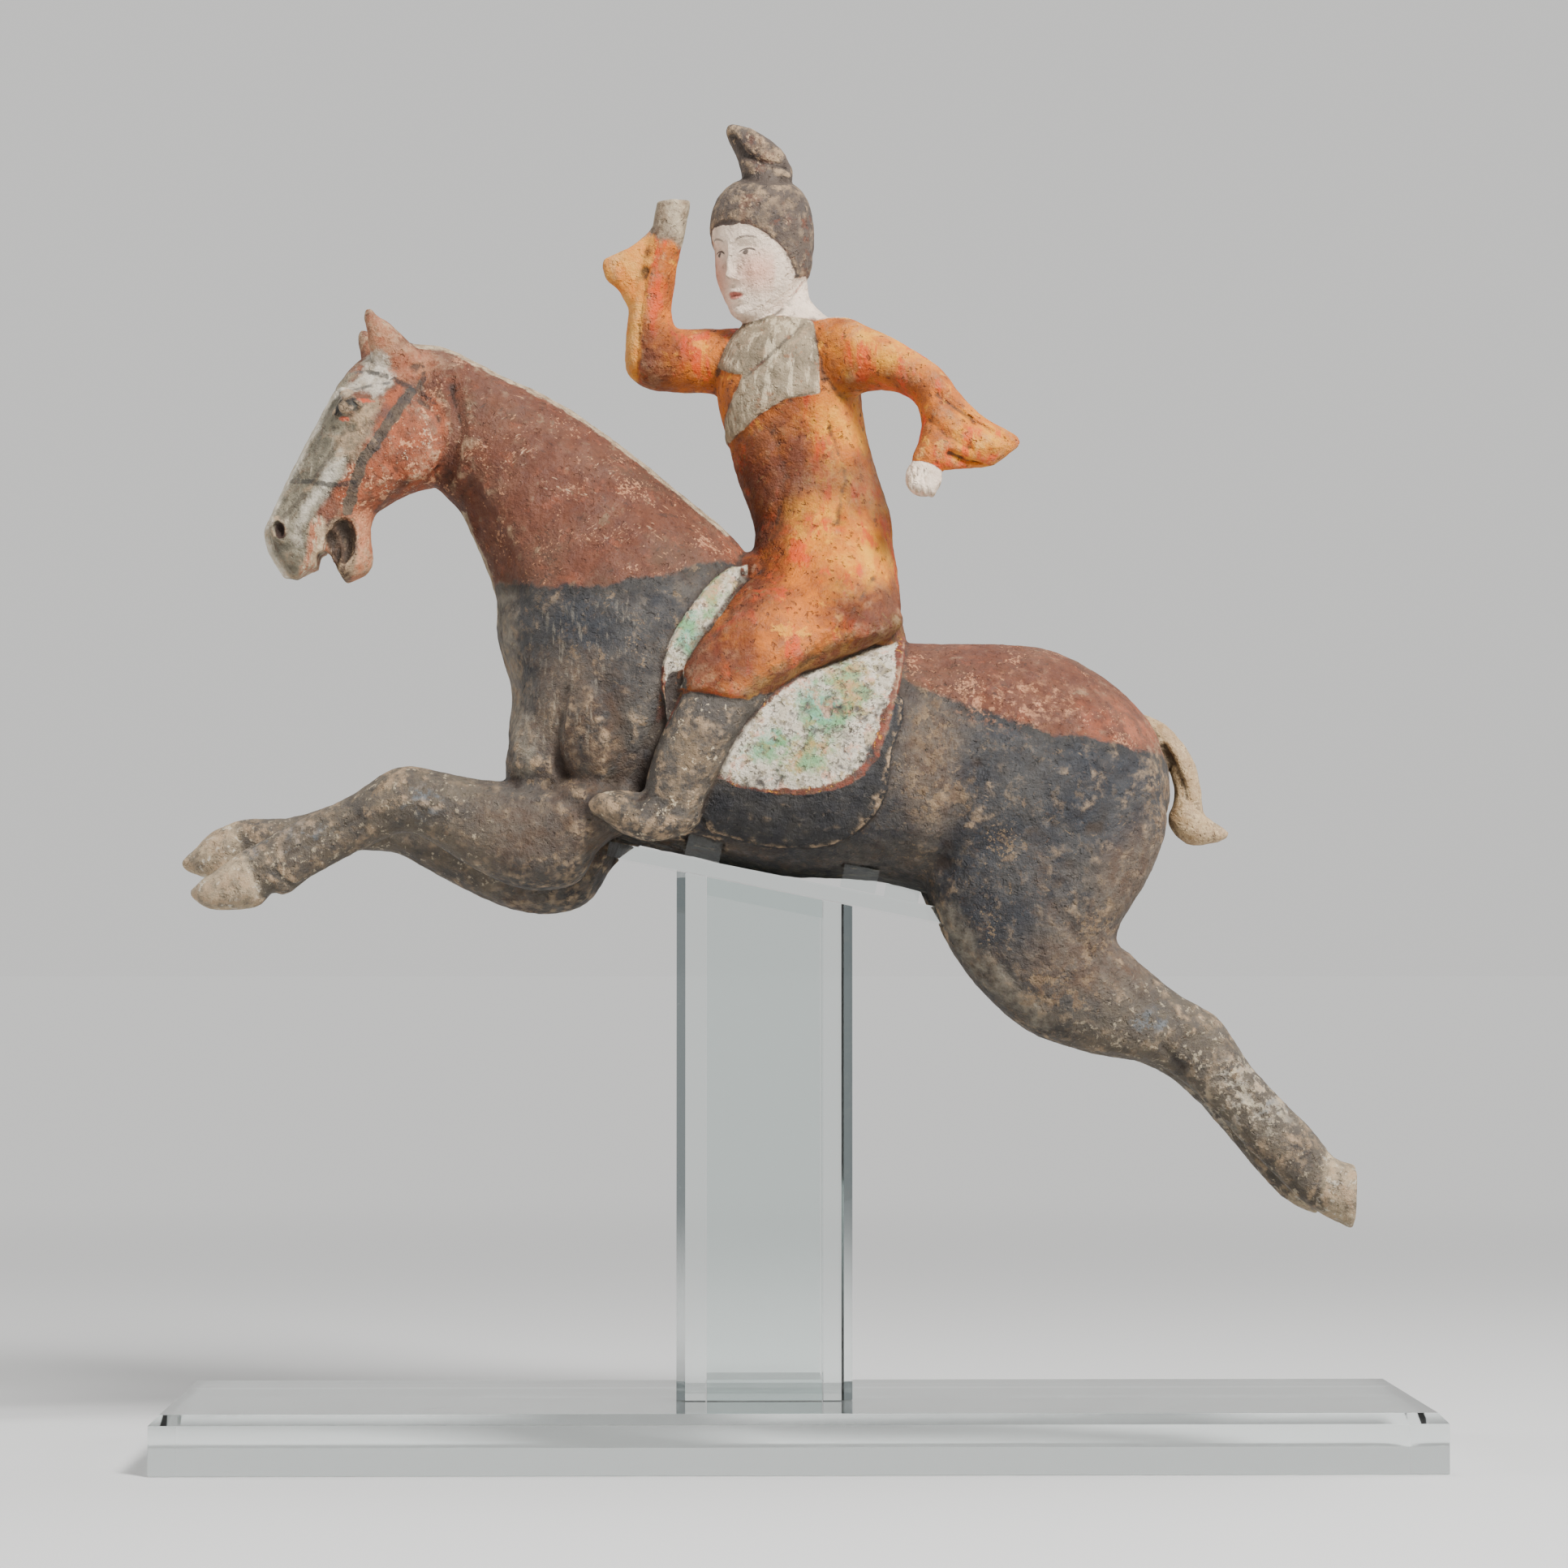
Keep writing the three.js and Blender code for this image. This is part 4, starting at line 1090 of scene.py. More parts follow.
paint = {
    "clay": (172, 144, 112), "dark": (37, 36, 39), "darkWorn": (78, 72, 66), "taupe": (96, 84, 72),
    "blueBlack": (40, 45, 52), "umber": (84, 62, 46), "chestnut": (86, 47, 32),
    "chestnutWorn": (106, 59, 38), "buff": (138, 114, 85), "white": (226, 217, 200),
    # whiteWorn is a worn white, also used for painted highlights on the horse
    "whiteWorn": (184, 172, 150), "grey": (144, 134, 112), "greyDeep": (88, 82, 68),
    "cheek": (166, 88, 56), "cheekWorn": (204, 146, 106), "black": (30, 29, 30),
    "red": (124, 58, 42), "redWorn": (96, 54, 40), "green": (104, 156, 104),
    "turquoise": (104, 166, 148), "olive": (152, 134, 66), "orange": (212, 114, 18),
    "orangeDeep": (146, 72, 16), "ochre": (240, 168, 40), "redOrange": (212, 66, 12),
    # brownStain is a brown stain colour, also used for painted shade on the robe
    "brownStain": (84, 32, 8), "oliveStain": (112, 84, 42), "collar": (158, 141, 114),
    "collarDeep": (112, 98, 78), "hair": (84, 71, 62), "hairDeep": (70, 60, 54),
    "skin": (252, 228, 204), "skinWorn": (208, 186, 166), "blush": (216, 142, 112),
    "boot": (60, 54, 49), "tail": (206, 180, 140), "tailDeep": (150, 118, 80),
    "hoof": (190, 168, 136), "leg": (97, 86, 71), "legDeep": (78, 70, 62),
    # dirt is the colour of real dirt, and of painted shade in hollows and grooves
    "blueGrey": (112, 119, 124), "cream": (214, 196, 164), "dirt": (44, 32, 25),
    "cuff": (226, 166, 76), "lip": (178, 84, 68), "ink": (50, 42, 40), "mouth": (52, 32, 24),
}

# Each paint is laid in layers: a first paint, then [where, paint, strength]. A paint is a colour,
# another of these lists, or two shades with their scale, contrast and lightness. A place is one
# mask or several that must all hold. "held" is inside a marked zone, with wobble, scale and
# softness, and the millimetres it is grown by. "near" is within a width of a marked line, and
# "lacking" is outside a mask. The others are named after the function that makes them.

onRobe = ("held", "robe", 0.5, 200, 0.4)
onCoat = ("held", "coat", 2.2, 90, 1)
onLip = ("held", "lip", 0.9, 200, 0.9)
inMouth = ("held", "mouthHole", 0.5, 200, 0.8)
scraped = (("held", "neckScrapes", 5, 120, 4), ("scratches", 1200, 0.63, 0.46))

layers = {
    "horseLegs": [
        ("leg", "legDeep", 210, 0.2),
        [("patches", 80, 0.5, 0.12), ("legDeep", "dark", 200), 0.75],
        [("patches", 380, 0.58, 0.06), "cream", 0.5],
    ],
    "horseBody": [
        ("darkWorn", "dark", 240, 0.22),
        [("patches", 45, 0.5, 0.14), ("umber", "darkWorn", 200, 0.2), 0.6],
        [("held", "taupe", 5, 70, 7), ("taupe", "umber", 220, 0.2), 0.8],
        [("held", "charcoal", 5, 70, 7), ("blueBlack", "dark", 260, 0.2), 0.9],
        [("patches", 260, 0.56, 0.08), "taupe", 0.55],
        [("patches", 520, 0.58, 0.06), "black", 0.5],
        # painted shade on the chest, shoulder and flanks, in umber and black
        [("held", "umberZone", 5, 90, 6), ("umber", "black", 200, 0.2, -0.03), 0.85],
        [("patches", 170, 0.58, 0.12), ("buff", "taupe", 300, 0.2), 0.4],
        [("flecks", 700, 60, 0.26), "buff", 0.6],
        [("scratches", 1000, 0.7, 0.52), "buff", 0.45],
        [("scratches", 800, 0.67, 0.48), "black", 0.45],
        [(("held", "chest", 6, 90, 5), ("streaks", 600, 0.54, 0.12)), "whiteWorn", 0.22],
        # painted highlight along the neck, chest and thigh edges
        [("near", "paleEdges", 3, 2.6, 150, 3), ("whiteWorn", "taupe", 240, 0.2), 0.5],
        [("held", "legs", 9, 70, 9), "horseLegs", 0.85],
    ],
    "chestnutCoat": [
        ("chestnutWorn", "chestnut", 220, 0.22),
        [("patches", 45, 0.52, 0.14), ("umber", "chestnut", 200, 0.2), 0.7],
        [("held", "redRump", 5, 90, 6), ("cheek", "redWorn", 160), 0.6],
        [("patches", 150, 0.56, 0.1), "cheek", 0.25],
        [("flecks", 850, 70, 0.42), "cheekWorn", 0.6],
        [("scratches", 1100, 0.69, 0.5), "cheekWorn", 0.5],
        [scraped, "cheekWorn", 0.75],
        [(scraped, ("patches", 500, 0.52)), "cream", 0.5],
        [("scratches", 800, 0.66, 0.46), "dirt", 0.5],
        [("held", "ears", 2.5, 130, 3), ("cheekWorn", "cheek", 170, 0.2), 0.6],
    ],
    "bareHoof": [
        ("hoof", "leg", 200, 0.2),
        [("flecks", 800, 150, 0.5), "legDeep", 0.7],
        [("patches", 320, 0.56, 0.06), "white", 0.5],
    ],
    "horseCheek": [
        ("cheek", "chestnutWorn", 200, 0.2),
        [("flecks", 700, 180, 0.62), "cheekWorn", 0.9],
        [("flecks", 1000, 120, 0.4), "cream", 0.5],
    ],
    "horseFront": [
        ("grey", "greyDeep", 120, 0.22),
        [("streaks", 260, 0.57, 0.08), "whiteWorn", 0.5],
        [("patches", 380, 0.57), "umber", 0.5],
        [("patches", 150, 0.55, 0.1), "greyDeep", 0.6],
    ],
    "horseTail": [
        ("tail", "tailDeep", 150, 0.2),
        [("streaks", 500, 0.55), "tailDeep", 0.7],
        [("flecks", 600, 150, 0.5), "umber", 0.6],
    ],
    "horseCoat": [
        "horseBody",
        [(("held", "coat", 2.5, 60, 2.4, 3.6), ("lacking", onCoat)), "black", 0.7],
        [onCoat, "chestnutCoat"],
        [(("held", "fadedRump", 6, 110, 4.5), ("patches", 330, 0.5, 0.08)),
         ("cheekWorn", "chestnutWorn", 300, 0.2), 0.8],
        [("near", "crest", 2.3, 0.9, 160), ("cream", "buff", 260, 0.2), 0.8],
        [
            (("held", "losses", 6, 160, 4), ("patches", 240, 0.49, 0.05)),
            ("buff", "umber", 260, 0.2), 0.85,
        ],
        [("patches", 110, 0.64, 0.02), ("buff", "umber", 260, 0.2), 0.6],
        [(("held", "blueGrey", 4, 200, 3), ("patches", 260, 0.46, 0.1)),
         ("blueGrey", "blueBlack", 200, 0.2), 0.7],
        [(("held", "paleCannon", 7, 110, 6), ("patches", 260, 0.47, 0.08)),
         ("cream", "blueGrey", 160, 0.2), 0.65],
        [("held", "hooves", 2.2, 160, 1.6), "bareHoof", 0.85],
    ],
    "horseHead": [
        "horseCoat",
        [("held", "cheek", 1.5, 160, 1.6), "horseCheek"],
        [("held", "redStrip", 0.8, 250, 0.8), ("cheek", "redWorn", 200), 0.8],
        [("held", "jaw", 1, 200, 0.9), ("cheekWorn", "cheek", 200, 0.2)],
        [("held", "frontFace", 1.4, 200, 1.2), "horseFront"],
        [("held", "underEye", 2.6, 160, 2.4), ("clay", "greyDeep", 190, 0.2)],
        [("held", "browPatch", 2.4, 190, 1.4), ("white", "grey", 170, 0.2), 0.8],
        # white paint with a painted highlight along the facial crest
        [("held", "sideFace", 2.6, 150, 2.2, -1), ("white", "whiteWorn", 140, 0.2), 0.8],
        # white paint with a painted highlight along the muzzle's front edge
        [("held", "muzzleEdge", 1.4, 160, 1.4), ("white", "grey", 120, 0.2), 0.85],
        # painted highlight along the profile of the face
        [("near", "faceRim", 2, 1.2, 190, 0.8), ("white", "whiteWorn", 160, 0.2), 0.85],
        [("scratches", 1200, 0.66, 0.48), "umber", 0.45],
        [onLip, ("cream", "clay", 200)],
        [(onLip, ("streaks", 520, 0.47, 0.06)), "cheek", 0.8],
        # painted shadow along the groove of the facial line
        [("near", "facialLine", 0.9, 0.5), "dirt", 0.5],
        [("near", "strap", 2, 1, 240), ("greyDeep", "black", 200, 0.2), 0.9],
        [("near", "browLines", 0.5, 0.4), "blueBlack", 0.7],
        [("near", "bridle", 0.9, 0.4), "black", 0.75],
        [("near", "eyeRed", 0.7, 0.4), "redOrange", 0.6],
        [("near", "horseEye", 1.9, 0.2), ("greyDeep", "blueBlack", 500, 0.2)],
        [("near", "pupil", 1.3, 0.1), "black"],
        [("near", "lid", 0.8, 0.2), "black", 0.9],
        # the nostril and mouth are painted dark brown, deepened as painted shade in these holes
        [("near", "horseNostril", 1.8, 0.4), "mouth"],
        [inMouth, ("umber", "mouth", 330, 0.2)],
        [(inMouth, ("streaks", 520, 0.53, 0.08)), "clay", 0.7],
        [("held", "tail", 0.8, 300, 0.4), "horseTail"],
    ],
    "clothPattern": [
        ("white", "whiteWorn", 150, 0.2),
        [("held", "greenCloth", 6, 110, 3), ("turquoise", "green", 150), 0.95],
        [("held", "oliveCloth", 7, 110, 3), ("olive", "green", 150), 0.85],
        [("patches", 150, 0.53, 0.06), ("olive", "blush", 140), 0.6],
        [("patches", 230, 0.55, 0.05), ("taupe", "olive", 180), 0.6],
        [("patches", 420, 0.55, 0.05), "greyDeep", 0.6],
        [("scratches", 1300, 0.64, 0.44), "ink", 0.6],
        [("flecks", 950, 130, 0.42), "dirt", 0.75],
    ],
    "clothTrim": [
        ("red", "redWorn", 260, 0.2),
        [("patches", 300, 0.54), "umber", 0.6],
        [("patches", 420, 0.6), "ochre", 0.6],
        [("held", "clothWhite", 1.3, 260, 0.5, 0.9), "clothPattern"],
    ],
    "saddleFlap": [
        ("dark", "black", 240, 0.2),
        [("patches", 260, 0.6, 0.08), "darkWorn", 0.6],
        [("scratches", 1000, 0.68, 0.48), "darkWorn", 0.6],
    ],
    "armStump": [
        ("cream", "umber", 70, 0.2),
        [("flecks", 700, 150, 0.5), "dirt", 0.5],
    ],
    "orangeRobe": [
        ("orange", "orangeDeep", 100, 0.2),
        # ochre paint and a painted highlight on the belly and chest
        [("held", "robeLight", 4.5, 70, 7), ("ochre", "orange", 140, 0.2), 0.9],
        [("streaks", 120, 0.53, 0.1), "redOrange", 0.8],
        [("patches", 130, 0.57, 0.08), "ochre", 0.6],
        # brown stain with painted shade, darkest at the near side of the waist
        [("held", "robeBrown", 4.5, 60, 6, 3), ("orangeDeep", "brownStain", 130, 0.2, -0.13), 0.95],
        [("held", "robeStain", 4.5, 90, 6), ("oliveStain", "brownStain", 130), 0.7],
        [("patches", 60, 0.56, 0.1), ("orangeDeep", "redOrange", 140), 0.5],
        [("patches", 420, 0.59, 0.05), "brownStain", 0.6],
        [("scratches", 900, 0.67, 0.48), "oliveStain", 0.6],
        # darker lines along the hems, widest where the back of the robe meets the cloth
        [("near", "hem", 0.8, 0.5), "brownStain", 0.7],
        [("near", "rearHem", 4.6, 3.2, 150, 2), ("oliveStain", "brownStain", 200), 0.85],
        [("held", "cuffFlap", 0.9, 200, 0.9), ("cuff", "orange", 90, 0.2), 0.9],
        [("held", "stump", 2, 160, 1.4), "armStump"],
    ],
    "boots": [
        ("darkWorn", "boot", 210, 0.2),
        [("held", "bootWorn", 5, 120, 5), ("buff", "boot", 240), 0.6],
        [("patches", 90, 0.53, 0.1), "darkWorn", 0.6],
        [("flecks", 600, 120, 0.45), "cream", 0.6],
    ],
    "greyCollar": [
        ("collar", "collarDeep", 140, 0.2),
        [("streaks", 330, 0.52, 0.08), "cream", 0.6],
        [("near", "collarLines", 0.5), "ink", 0.6],
        [("patches", 260, 0.6, 0.05), "orangeDeep", 0.35],
    ],
    "whiteSkin": [
        ("skin", "skinWorn", 80, 0.22),
        [("flecks", 700, 120, 0.3), "clay", 0.6],
        [("spot", 8.5, -7, 5.5, 6, 0.9), "blush", 0.6],
        [("spot", 0, -14.3, 2.9, 1.4, 0.3), "lip", 0.85],
        [("spot", 6, 0, 1, 0.9, 0.3), "ink", 0.9],
        [("arc", 6.2, 1.1, 0.11, 2.8, 0.4), "ink", 0.9],
        [("arc", 6.4, 5.4, 0.07, 3.6, 0.5), "ink", 0.6],
    ],
    "darkHair": [
        ("hair", "hairDeep", 90, 0.2),
        [("patches", 70, 0.56, 0.08), "chestnutWorn", 0.4],
        [("flecks", 500, 70, 0.4), "clay", 0.7],
    ],
    "figure": [
        "horseHead",
        [("held", "flap", 0.8, 200, 0.4), "saddleFlap"],
        [("held", "cloth", 0.5, 200, 0.3), "clothTrim"],
        [("held", "boots", 1.6, 150, 0.9), "boots"],
        [onRobe, "orangeRobe"],
        [("held", "collar", 0.6, 200, 0.4), "greyCollar"],
        [("held", "hand", 0.3, 300, 0.3), "whiteSkin"],
        [("held", "skin", 0.3, 300, 0.3), "whiteSkin"],
        [(("held", "bareNeck", 0.8, 250, 0.6), ("held", "robe", 0.3, 300, 0.3)), "whiteSkin"],
        [("held", "hair", 1.8, 180, 0.7), "darkHair"],
    ],
}


def colour(name):
    def toLinear(value):
        value /= 255
        return value / 12.92 if value <= 0.04045 else ((value + 0.055) / 1.055) ** 2.4
    return tuple(toLinear(value) for value in paint[name]) + (1,)


def place(tree, kind, **values):
    node = tree.nodes.new(kind)
    for name, value in values.items():
        setattr(node, name, value)
    return node


def feed(tree, socket, value):
    if isinstance(value, bpy.types.NodeSocket):
        tree.links.new(value, socket)
    else:
        socket.default_value = value


def compute(tree, operation, *values):
    node = place(tree, "ShaderNodeMath", operation=operation)
    for socket, value in zip(node.inputs, values):
        feed(tree, socket, value)
    return node.outputs[0]


def plus(tree, a, b):
    return compute(tree, "ADD", a, b)


def minus(tree, a, b):
    return compute(tree, "SUBTRACT", a, b)


def times(tree, a, b):
    return compute(tree, "MULTIPLY", a, b)


def noiseAt(tree, scale, detail, roughness, stretch=None, lean=0):
    coordinates = place(tree, "ShaderNodeTexCoord").outputs["Object"]
    if stretch:
        mapping = place(tree, "ShaderNodeMapping", vector_type="TEXTURE")
        mapping.inputs["Scale"].default_value = stretch
        mapping.inputs["Rotation"].default_value = (0, lean, 0)
        tree.links.new(coordinates, mapping.inputs["Vector"])
        coordinates = mapping.outputs["Vector"]
    noise = place(tree, "ShaderNodeTexNoise")
    tree.links.new(coordinates, noise.inputs["Vector"])
    feed(tree, noise.inputs["Scale"], scale)
    noise.inputs["Detail"].default_value = detail
    noise.inputs["Roughness"].default_value = roughness
    return noise.outputs["Fac"]


def ramp(tree, value, low, high):
    node = place(tree, "ShaderNodeMapRange", interpolation_type="SMOOTHSTEP")
    for name, item in (("Value", value), ("From Min", low), ("From Max", high)):
        feed(tree, node.inputs[name], item)
    return node.outputs["Result"]


def mix(tree, mask, under, over):
    node = place(tree, "ShaderNodeMix", data_type="RGBA", blend_type="MIX")
    for name, item in (("Factor", mask), ("A", under), ("B", over)):
        feed(tree, node.inputs[name], item)
    return node.outputs["Result"]


# The masks and the mottled paint are node groups, made once. A group's inputs are the
# arguments of the function that fills it.

def mottle(tree, light, deep, scale, contrast, lightness):
    # two shades of one paint, clouded
    cloud = plus(tree, noiseAt(tree, scale, 5, 0.68), lightness)
    low, high = minus(tree, 0.5, contrast), plus(tree, 0.5, contrast)
    return mix(tree, ramp(tree, cloud, low, high), deep, light)


def wornEdge(tree, distance, wobble, scale, softness):
    # where a paint still holds, from its distance to its edge and a ragged noise
    ragged = minus(tree, noiseAt(tree, scale, 4, 0.7), 0.5)
    total = plus(tree, distance, times(tree, times(tree, ragged, 4), wobble))
    return ramp(tree, total, times(tree, softness, -1), softness)


def flecks(tree, scale, clusters, amount):
    # scattered specks that gather in clusters
    fine, coarse = noiseAt(tree, scale, 2, 0.7), noiseAt(tree, clusters, 2, 0.6)
    total = plus(tree, times(tree, fine, 0.5), times(tree, coarse, 0.5))
    start = minus(tree, 0.68, times(tree, amount, 0.2))
    return ramp(tree, total, start, plus(tree, start, 0.035))


def streaks(tree, scale, start, softness):
    # brushed or run paint, drawn out up and down
    drawn = noiseAt(tree, scale, 4, 0.65, stretch=(1, 1, 4.5))
    return ramp(tree, drawn, start, plus(tree, start, softness))


def scratches(tree, scale, amount, start):
    # short dashes along two leaning directions, for scrapes that gather in places
    dashes = []
    for lean, gather in ((-0.7, 45), (0.5, 62)):
        drawn = noiseAt(tree, scale, 1, 0.6, stretch=(3.4, 1.7, 1), lean=lean)
        shown = ramp(tree, noiseAt(tree, gather, 1, 0.6), start, plus(tree, start, 0.1))
        dashes.append(times(tree, ramp(tree, drawn, amount, plus(tree, amount, 0.05)), shown))
    return compute(tree, "MAXIMUM", *dashes)


def patches(tree, scale, start, softness):
    # ragged patches where one layer has gone
    return ramp(tree, noiseAt(tree, scale, 5, 0.66), start, plus(tree, start, softness))


def dust(tree, scale, amount):
    # a thin settled film with finger-wide clouds, for the clay and the acrylic
    return times(tree, ramp(tree, noiseAt(tree, scale, 4, 0.62), 0.38, 0.72), amount)


def facePlace(tree):
    # forward, sideways and up in the rider's head, in millimetres
    split = place(tree, "ShaderNodeSeparateXYZ")
    where = place(tree, "ShaderNodeAttribute", attribute_name="headSpace")
    tree.links.new(where.outputs["Vector"], split.inputs[0])
    forward, sideways, up = split.outputs
    return ramp(tree, forward, 8, 10), compute(tree, "ABSOLUTE", sideways), up


def spot(tree, across, height, reachAcross, reachUp, softness):
    # a painted oval on the face, mirrored across its middle
    front, sideways, up = facePlace(tree)
    a = compute(tree, "POWER", compute(tree, "DIVIDE", minus(tree, sideways, across), reachAcross), 2)
    b = compute(tree, "POWER", compute(tree, "DIVIDE", minus(tree, up, height), reachUp), 2)
    far = compute(tree, "SQRT", plus(tree, a, b))
    faded = ramp(tree, far, minus(tree, 1, softness), plus(tree, 1, softness))
    return times(tree, minus(tree, 1, faded), front)


def arc(tree, across, height, bend, halfLength, thickness):
    # a painted line that bends down at its ends, such as a brow or a lid
    front, sideways, up = facePlace(tree)
    sideways = minus(tree, sideways, across)
    line = minus(tree, height, times(tree, compute(tree, "POWER", sideways, 2), bend))
    off = compute(tree, "ABSOLUTE", minus(tree, up, line))
    thin = minus(tree, 1, ramp(tree, off, times(tree, thickness, 0.5), thickness))
    reach = minus(tree, compute(tree, "ABSOLUTE", sideways), halfLength)
    long = minus(tree, 1, ramp(tree, reach, -0.5, 0.5))
    return times(tree, times(tree, thin, long), front)


groups = {}
groupInputs = {
    mottle: {"light": (1, 1, 1, 1), "deep": (0, 0, 0, 1), "scale": 120, "contrast": 0.12, "lightness": 0},
    wornEdge: {"distance": 0, "wobble": 0.8, "scale": 300, "softness": 0.25},
    flecks: {"scale": 900, "clusters": 90, "amount": 0.5},
    streaks: {"scale": 300, "start": 0.52, "softness": 0.06},
    scratches: {"scale": 700, "amount": 0.62, "start": 0.5},
    patches: {"scale": 60, "start": 0.56, "softness": 0.03},
    dust: {"scale": 40, "amount": 0.3},
    spot: {"across": 6, "height": 0, "reachAcross": 1, "reachUp": 1, "softness": 0.3},
    arc: {"across": 6, "height": 4, "bend": 0.1, "halfLength": 3, "thickness": 0.4},
}


def makeGroups():
    for fill, inputs in groupInputs.items():
        group = bpy.data.node_groups.new(fill.__name__, "ShaderNodeTree")
        for label, value in inputs.items():
            kind = "NodeSocketColor" if isinstance(value, tuple) else "NodeSocketFloat"
            group.interface.new_socket(name=label, in_out="INPUT", socket_type=kind).default_value = value
        result = "NodeSocketColor" if fill is mottle else "NodeSocketFloat"
        group.interface.new_socket(name="result", in_out="OUTPUT", socket_type=result)
        given = group.nodes.new("NodeGroupInput").outputs
        made = fill(group, *(given[label] for label in inputs))
        group.links.new(made, group.nodes.new("NodeGroupOutput").inputs[0])
        groups[fill.__name__] = group


def use(tree, name, *values):
    node = place(tree, "ShaderNodeGroup", node_tree=groups[name])
    for socket, value in zip(node.inputs, values):
        feed(tree, socket, value)
    return node.outputs[0]


lineEdge = [0.4, 500, 0.3]  # wobble, scale and softness of a line where its row leaves them out


class Painter:
    # lays the layers in one material, and makes each mask and paint once
    def __init__(self, tree):
        self.tree = tree
        self.made = {}

    def field(self, name):
        return place(self.tree, "ShaderNodeAttribute", attribute_name=name).outputs["Fac"]

    def maskFor(self, key):
        tree, (kind, *values) = self.tree, key
        if isinstance(kind, tuple):
            return times(tree, *(self.mask(part) for part in key))
        if kind == "lacking":
            return minus(tree, 1, self.mask(values[0]))
        if kind == "near":
            name, width, *values = values
            values += lineEdge[len(values):]
            return use(tree, "wornEdge", minus(tree, width, self.field(name)), *values)
        if kind == "held":
            name, wobble, scale, softness, *shift = values
            distance = plus(tree, self.field(name), *shift) if shift else self.field(name)
            return use(tree, "wornEdge", distance, wobble, scale, softness)
        return use(tree, kind, *values)

    def mask(self, key):
        if key not in self.made:
            self.made[key] = self.maskFor(key)
        return self.made[key]

    def paint(self, key):
        if key not in self.made:
            if key in layers:
                self.made[key] = self.lay(*layers[key])
            elif isinstance(key, tuple):
                light, deep, *values = key
                self.made[key] = use(self.tree, "mottle", colour(light), colour(deep), *values)
            else:
                self.made[key] = colour(key)
        return self.made[key]

    def coat(self, under, mask, over, strength=1):
        if strength < 1:
            mask = times(self.tree, mask, strength)
        return mix(self.tree, mask, under, self.paint(over))

    def lay(self, first, *rest):
        under = self.paint(first)
        for where, *over in rest:
            under = self.coat(under, self.mask(where), *over)
        return under


pottery = {
    # how hollow or raised a place is where these start and end
    "worn": {"range": (0.14, 0.5), "strength": 0.75, "onRobe": 0.4},
    # dirt and painted shade darken the hollows, and in patches the shallow ones
    "dirt": {"range": (0.08, 0.5), "strength": 0.8},
    "grimeAndShade": {"range": (-0.05, 0.2), "strength": 0.35, "scatter": ("patches", 300, 0.53, 0.1)},
    "dust": (55, 0.04),
    "specular": 0.4,
    # clouds as their noise's scale, detail and roughness, then where they start and end
    "wornClouds": (260, 5, 0.7, 0.42, 0.6),
    "roughClouds": (200, 5, 0.6, 0.3, 0.7),
    "roughness": (0.6, 0.25),
    "bump": {"strength": 0.8, "distance": 0.0014},
    # the clay's relief as scale, detail, roughness and height
    "relief": {
        "grain": (1000, 2, 0.75, 0.45), "lumps": (190, 4, 0.65, 1.5), "knifed": (330, 3, 0.6, 0.7),
    },
    "knife": {"stretch": (3, 2, 1), "lean": -0.7},
    "pits": (420, 2, 0.6, 0.62, 0.7), "pitDepth": 0.5,
}


def newMaterial(name):
    material = bpy.data.materials.new(name)
    material.use_nodes = True
    tree = material.node_tree
    return material, tree, tree.nodes["Principled BSDF"]


def clouds(tree, scale, detail, roughness, low, high, **drawn):
    return ramp(tree, noiseAt(tree, scale, detail, roughness, **drawn), low, high)


def reliefOf(tree, name, **drawn):
    *noise, height = pottery["relief"][name]
    return times(tree, noiseAt(tree, *noise, **drawn), height)


def bumpOn(tree, shader):
    height = plus(tree, reliefOf(tree, "grain"), reliefOf(tree, "lumps"))
    height = plus(tree, height, reliefOf(tree, "knifed", **pottery["knife"]))
    pits = times(tree, clouds(tree, *pottery["pits"]), pottery["pitDepth"])
    node = place(tree, "ShaderNodeBump")
    node.inputs["Strength"].default_value = pottery["bump"]["strength"]
    node.inputs["Distance"].default_value = pottery["bump"]["distance"]
    tree.links.new(minus(tree, height, pits), node.inputs["Height"])
    tree.links.new(node.outputs["Normal"], shader.inputs["Normal"])


def makePottery():
    material, tree, shader = newMaterial("paintedPottery")
    painter = Painter(tree)
    # wear over everything: bare clay on edges, dirt and painted shade in the hollows, a film of dust
    hollow = painter.field("hollow")
    worn, dirt, grimeAndShade = (pottery[name] for name in ("worn", "dirt", "grimeAndShade"))
    edge = ramp(tree, times(tree, hollow, -1), *worn["range"])
    bare = times(tree, edge, clouds(tree, *pottery["wornClouds"]))
    spared = times(tree, painter.mask(onRobe), 1 - worn["onRobe"])
    bare = times(tree, bare, minus(tree, 1, spared))
    finished = painter.coat(painter.paint("figure"), bare, "clay", worn["strength"])
    # dirt with painted shade in the hollows, then patchy in the shallow ones
    finished = painter.coat(finished, ramp(tree, hollow, *dirt["range"]), "dirt", dirt["strength"])
    shallow = times(tree, ramp(tree, hollow, *grimeAndShade["range"]), painter.mask(grimeAndShade["scatter"]))
    finished = painter.coat(finished, shallow, "dirt", grimeAndShade["strength"])
    finished = painter.coat(finished, use(tree, "dust", *pottery["dust"]), "cream")
    tree.links.new(finished, shader.inputs["Base Color"])
    least, spread = pottery["roughness"]
    rough = times(tree, clouds(tree, *pottery["roughClouds"]), spread)
    tree.links.new(plus(tree, least, rough), shader.inputs["Roughness"])
    shader.inputs["Specular IOR Level"].default_value = pottery["specular"]
    bumpOn(tree, shader)
    return material


acrylic = {
    "colour": (0.86, 0.905, 0.9, 1), "ior": 1.49,
    "roughness": 0.02, "dust": (30, 0.03),
    "scratches": (60, 5, 0.75, 0.62, 0.7), "drawnOut": (1, 1, 0.07), "scratched": 0.12,
}


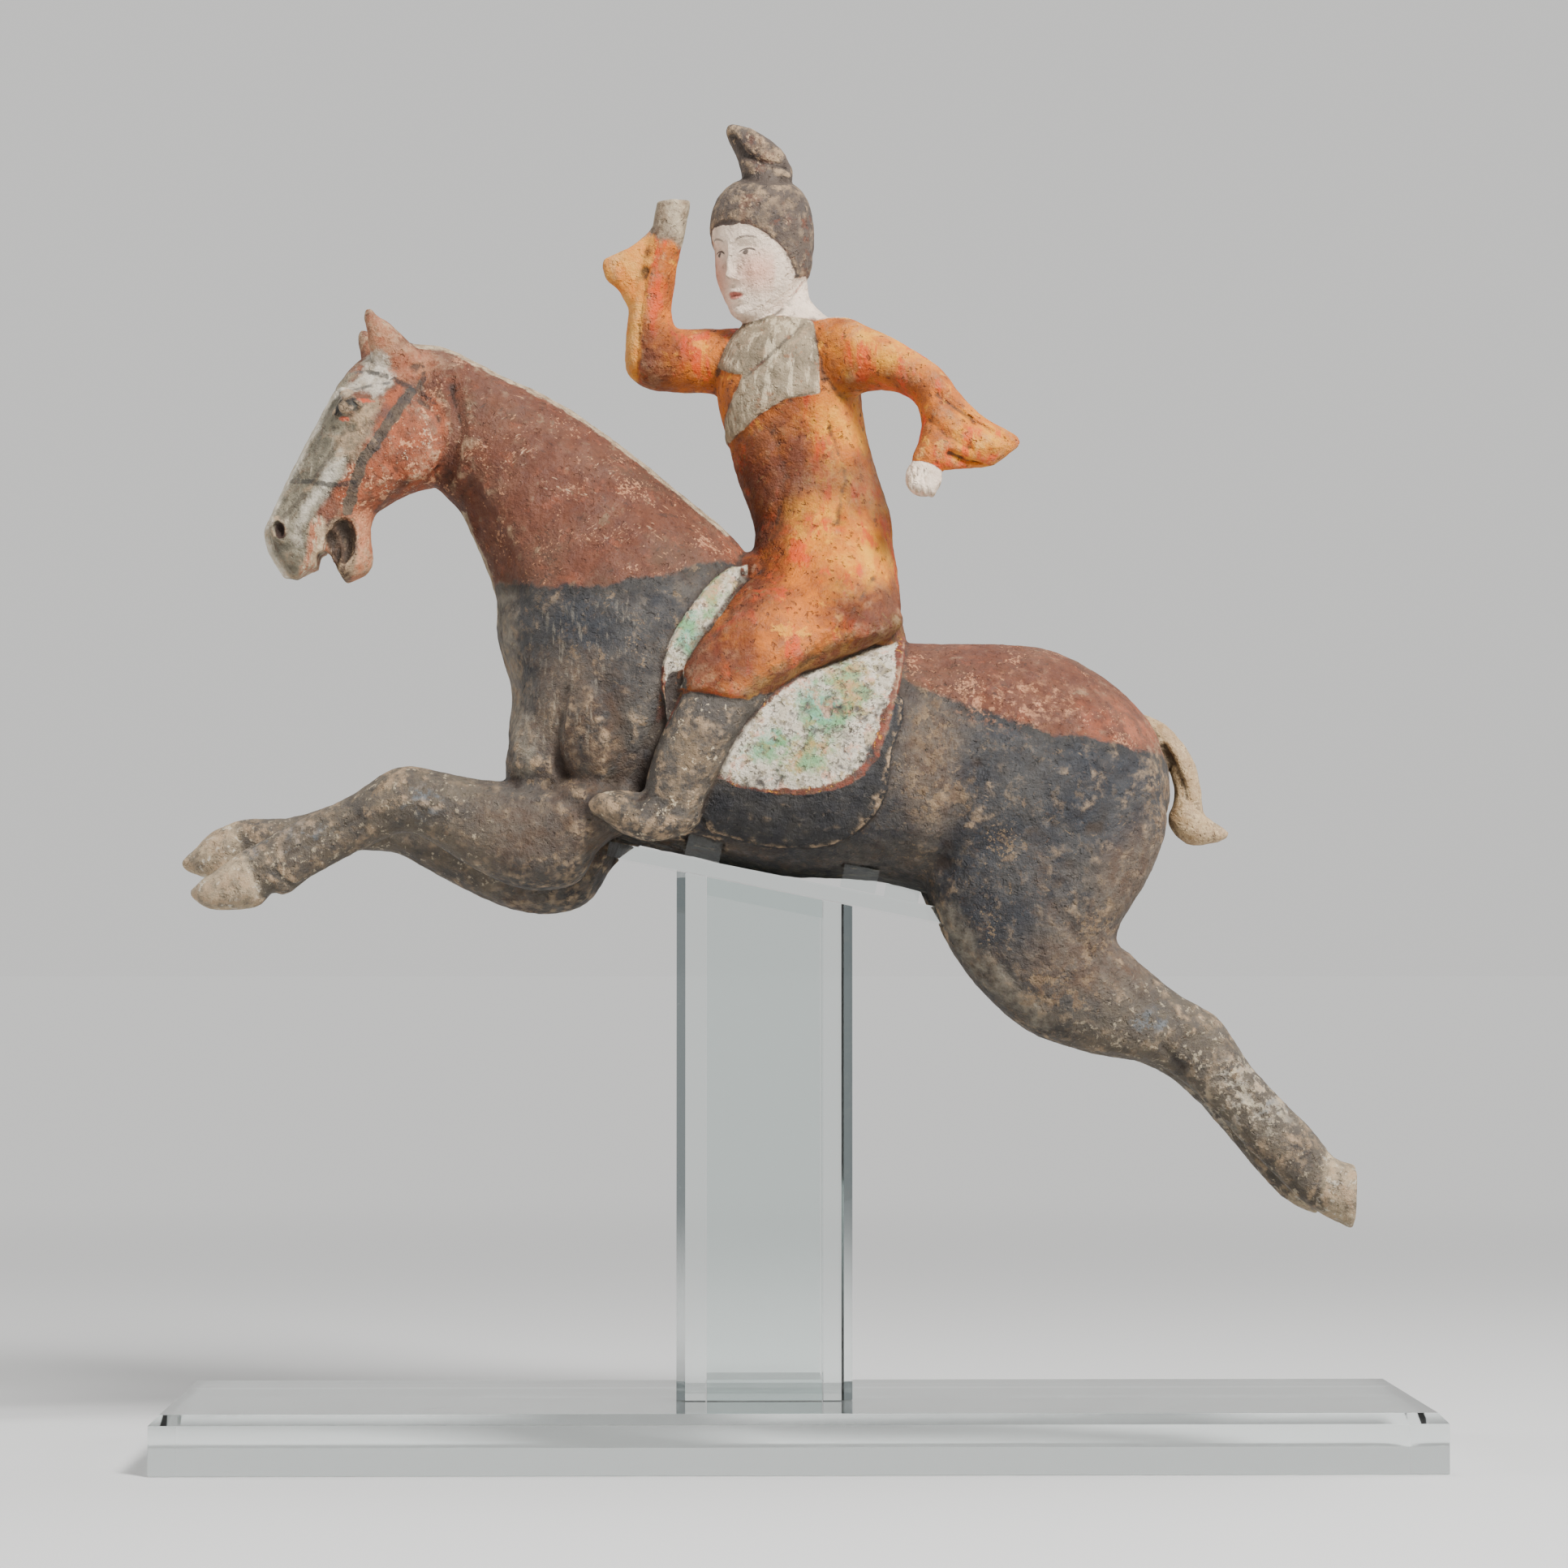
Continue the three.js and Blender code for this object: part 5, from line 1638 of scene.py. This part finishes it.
def makeAcrylic():
    material, tree, shader = newMaterial("clearAcrylic")
    shader.inputs["Base Color"].default_value = acrylic["colour"]
    shader.inputs["Transmission Weight"].default_value = 1
    shader.inputs["IOR"].default_value = acrylic["ior"]
    hazy = use(tree, "dust", *acrylic["dust"])
    drawn = clouds(tree, *acrylic["scratches"], stretch=acrylic["drawnOut"])
    marks = plus(tree, hazy, times(tree, drawn, acrylic["scratched"]))
    tree.links.new(plus(tree, acrylic["roughness"], marks), shader.inputs["Roughness"])
    return material


floor = {
    "size": 60, "below": 0.0002, "roughness": 0.9, "specular": 0.1,
    "colour": (0.70, 0.695, 0.68, 1), "near": 0.3, "far": 1.9,
}


def buildFloor():
    bpy.ops.mesh.primitive_plane_add(size=floor["size"], location=(0, 0, -floor["below"]))
    bpy.ops.object.transform_apply()
    ground = bpy.context.object
    ground.name = "floor"
    material, tree, shader = newMaterial("paleFloor")
    shader.inputs["Roughness"].default_value = floor["roughness"]
    shader.inputs["Specular IOR Level"].default_value = floor["specular"]
    here = place(tree, "ShaderNodeTexCoord").outputs["Object"]
    length = place(tree, "ShaderNodeVectorMath", operation="LENGTH")
    split = place(tree, "ShaderNodeSeparateXYZ")
    for node in (length, split):
        tree.links.new(here, node.inputs[0])
    away = ramp(tree, length.outputs["Value"], floor["near"], floor["far"])
    tree.links.new(mix(tree, away, floor["colour"], (0, 0, 0, 1)), shader.inputs["Base Color"])
    # far off the floor glows like the backdrop, but lights nothing
    diffuse = place(tree, "ShaderNodeLightPath").outputs["Is Diffuse Ray"]
    glow = times(tree, away, minus(tree, 1, diffuse))
    far = flagsAt(tree, split.outputs["X"], split.outputs["Y"])
    tree.links.new(mix(tree, glow, (0, 0, 0, 1), far), shader.inputs["Emission Color"])
    shader.inputs["Emission Strength"].default_value = 1
    ground.data.materials.append(material)


setUpStudio()
print("studio set up")
paintedFigure = buildFigure()
markPaint(paintedFigure)
makeGroups()
paintedFigure.data.materials.clear()
paintedFigure.data.materials.append(makePottery())
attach(paintedFigure, "root")
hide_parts("horse_and_rider")
clearAcrylic = makeAcrylic()
for name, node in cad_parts.items():
    if name != "horse_and_rider":
        node.data.materials.clear()
        node.data.materials.append(clearAcrylic)
buildFloor()
print("materials made")
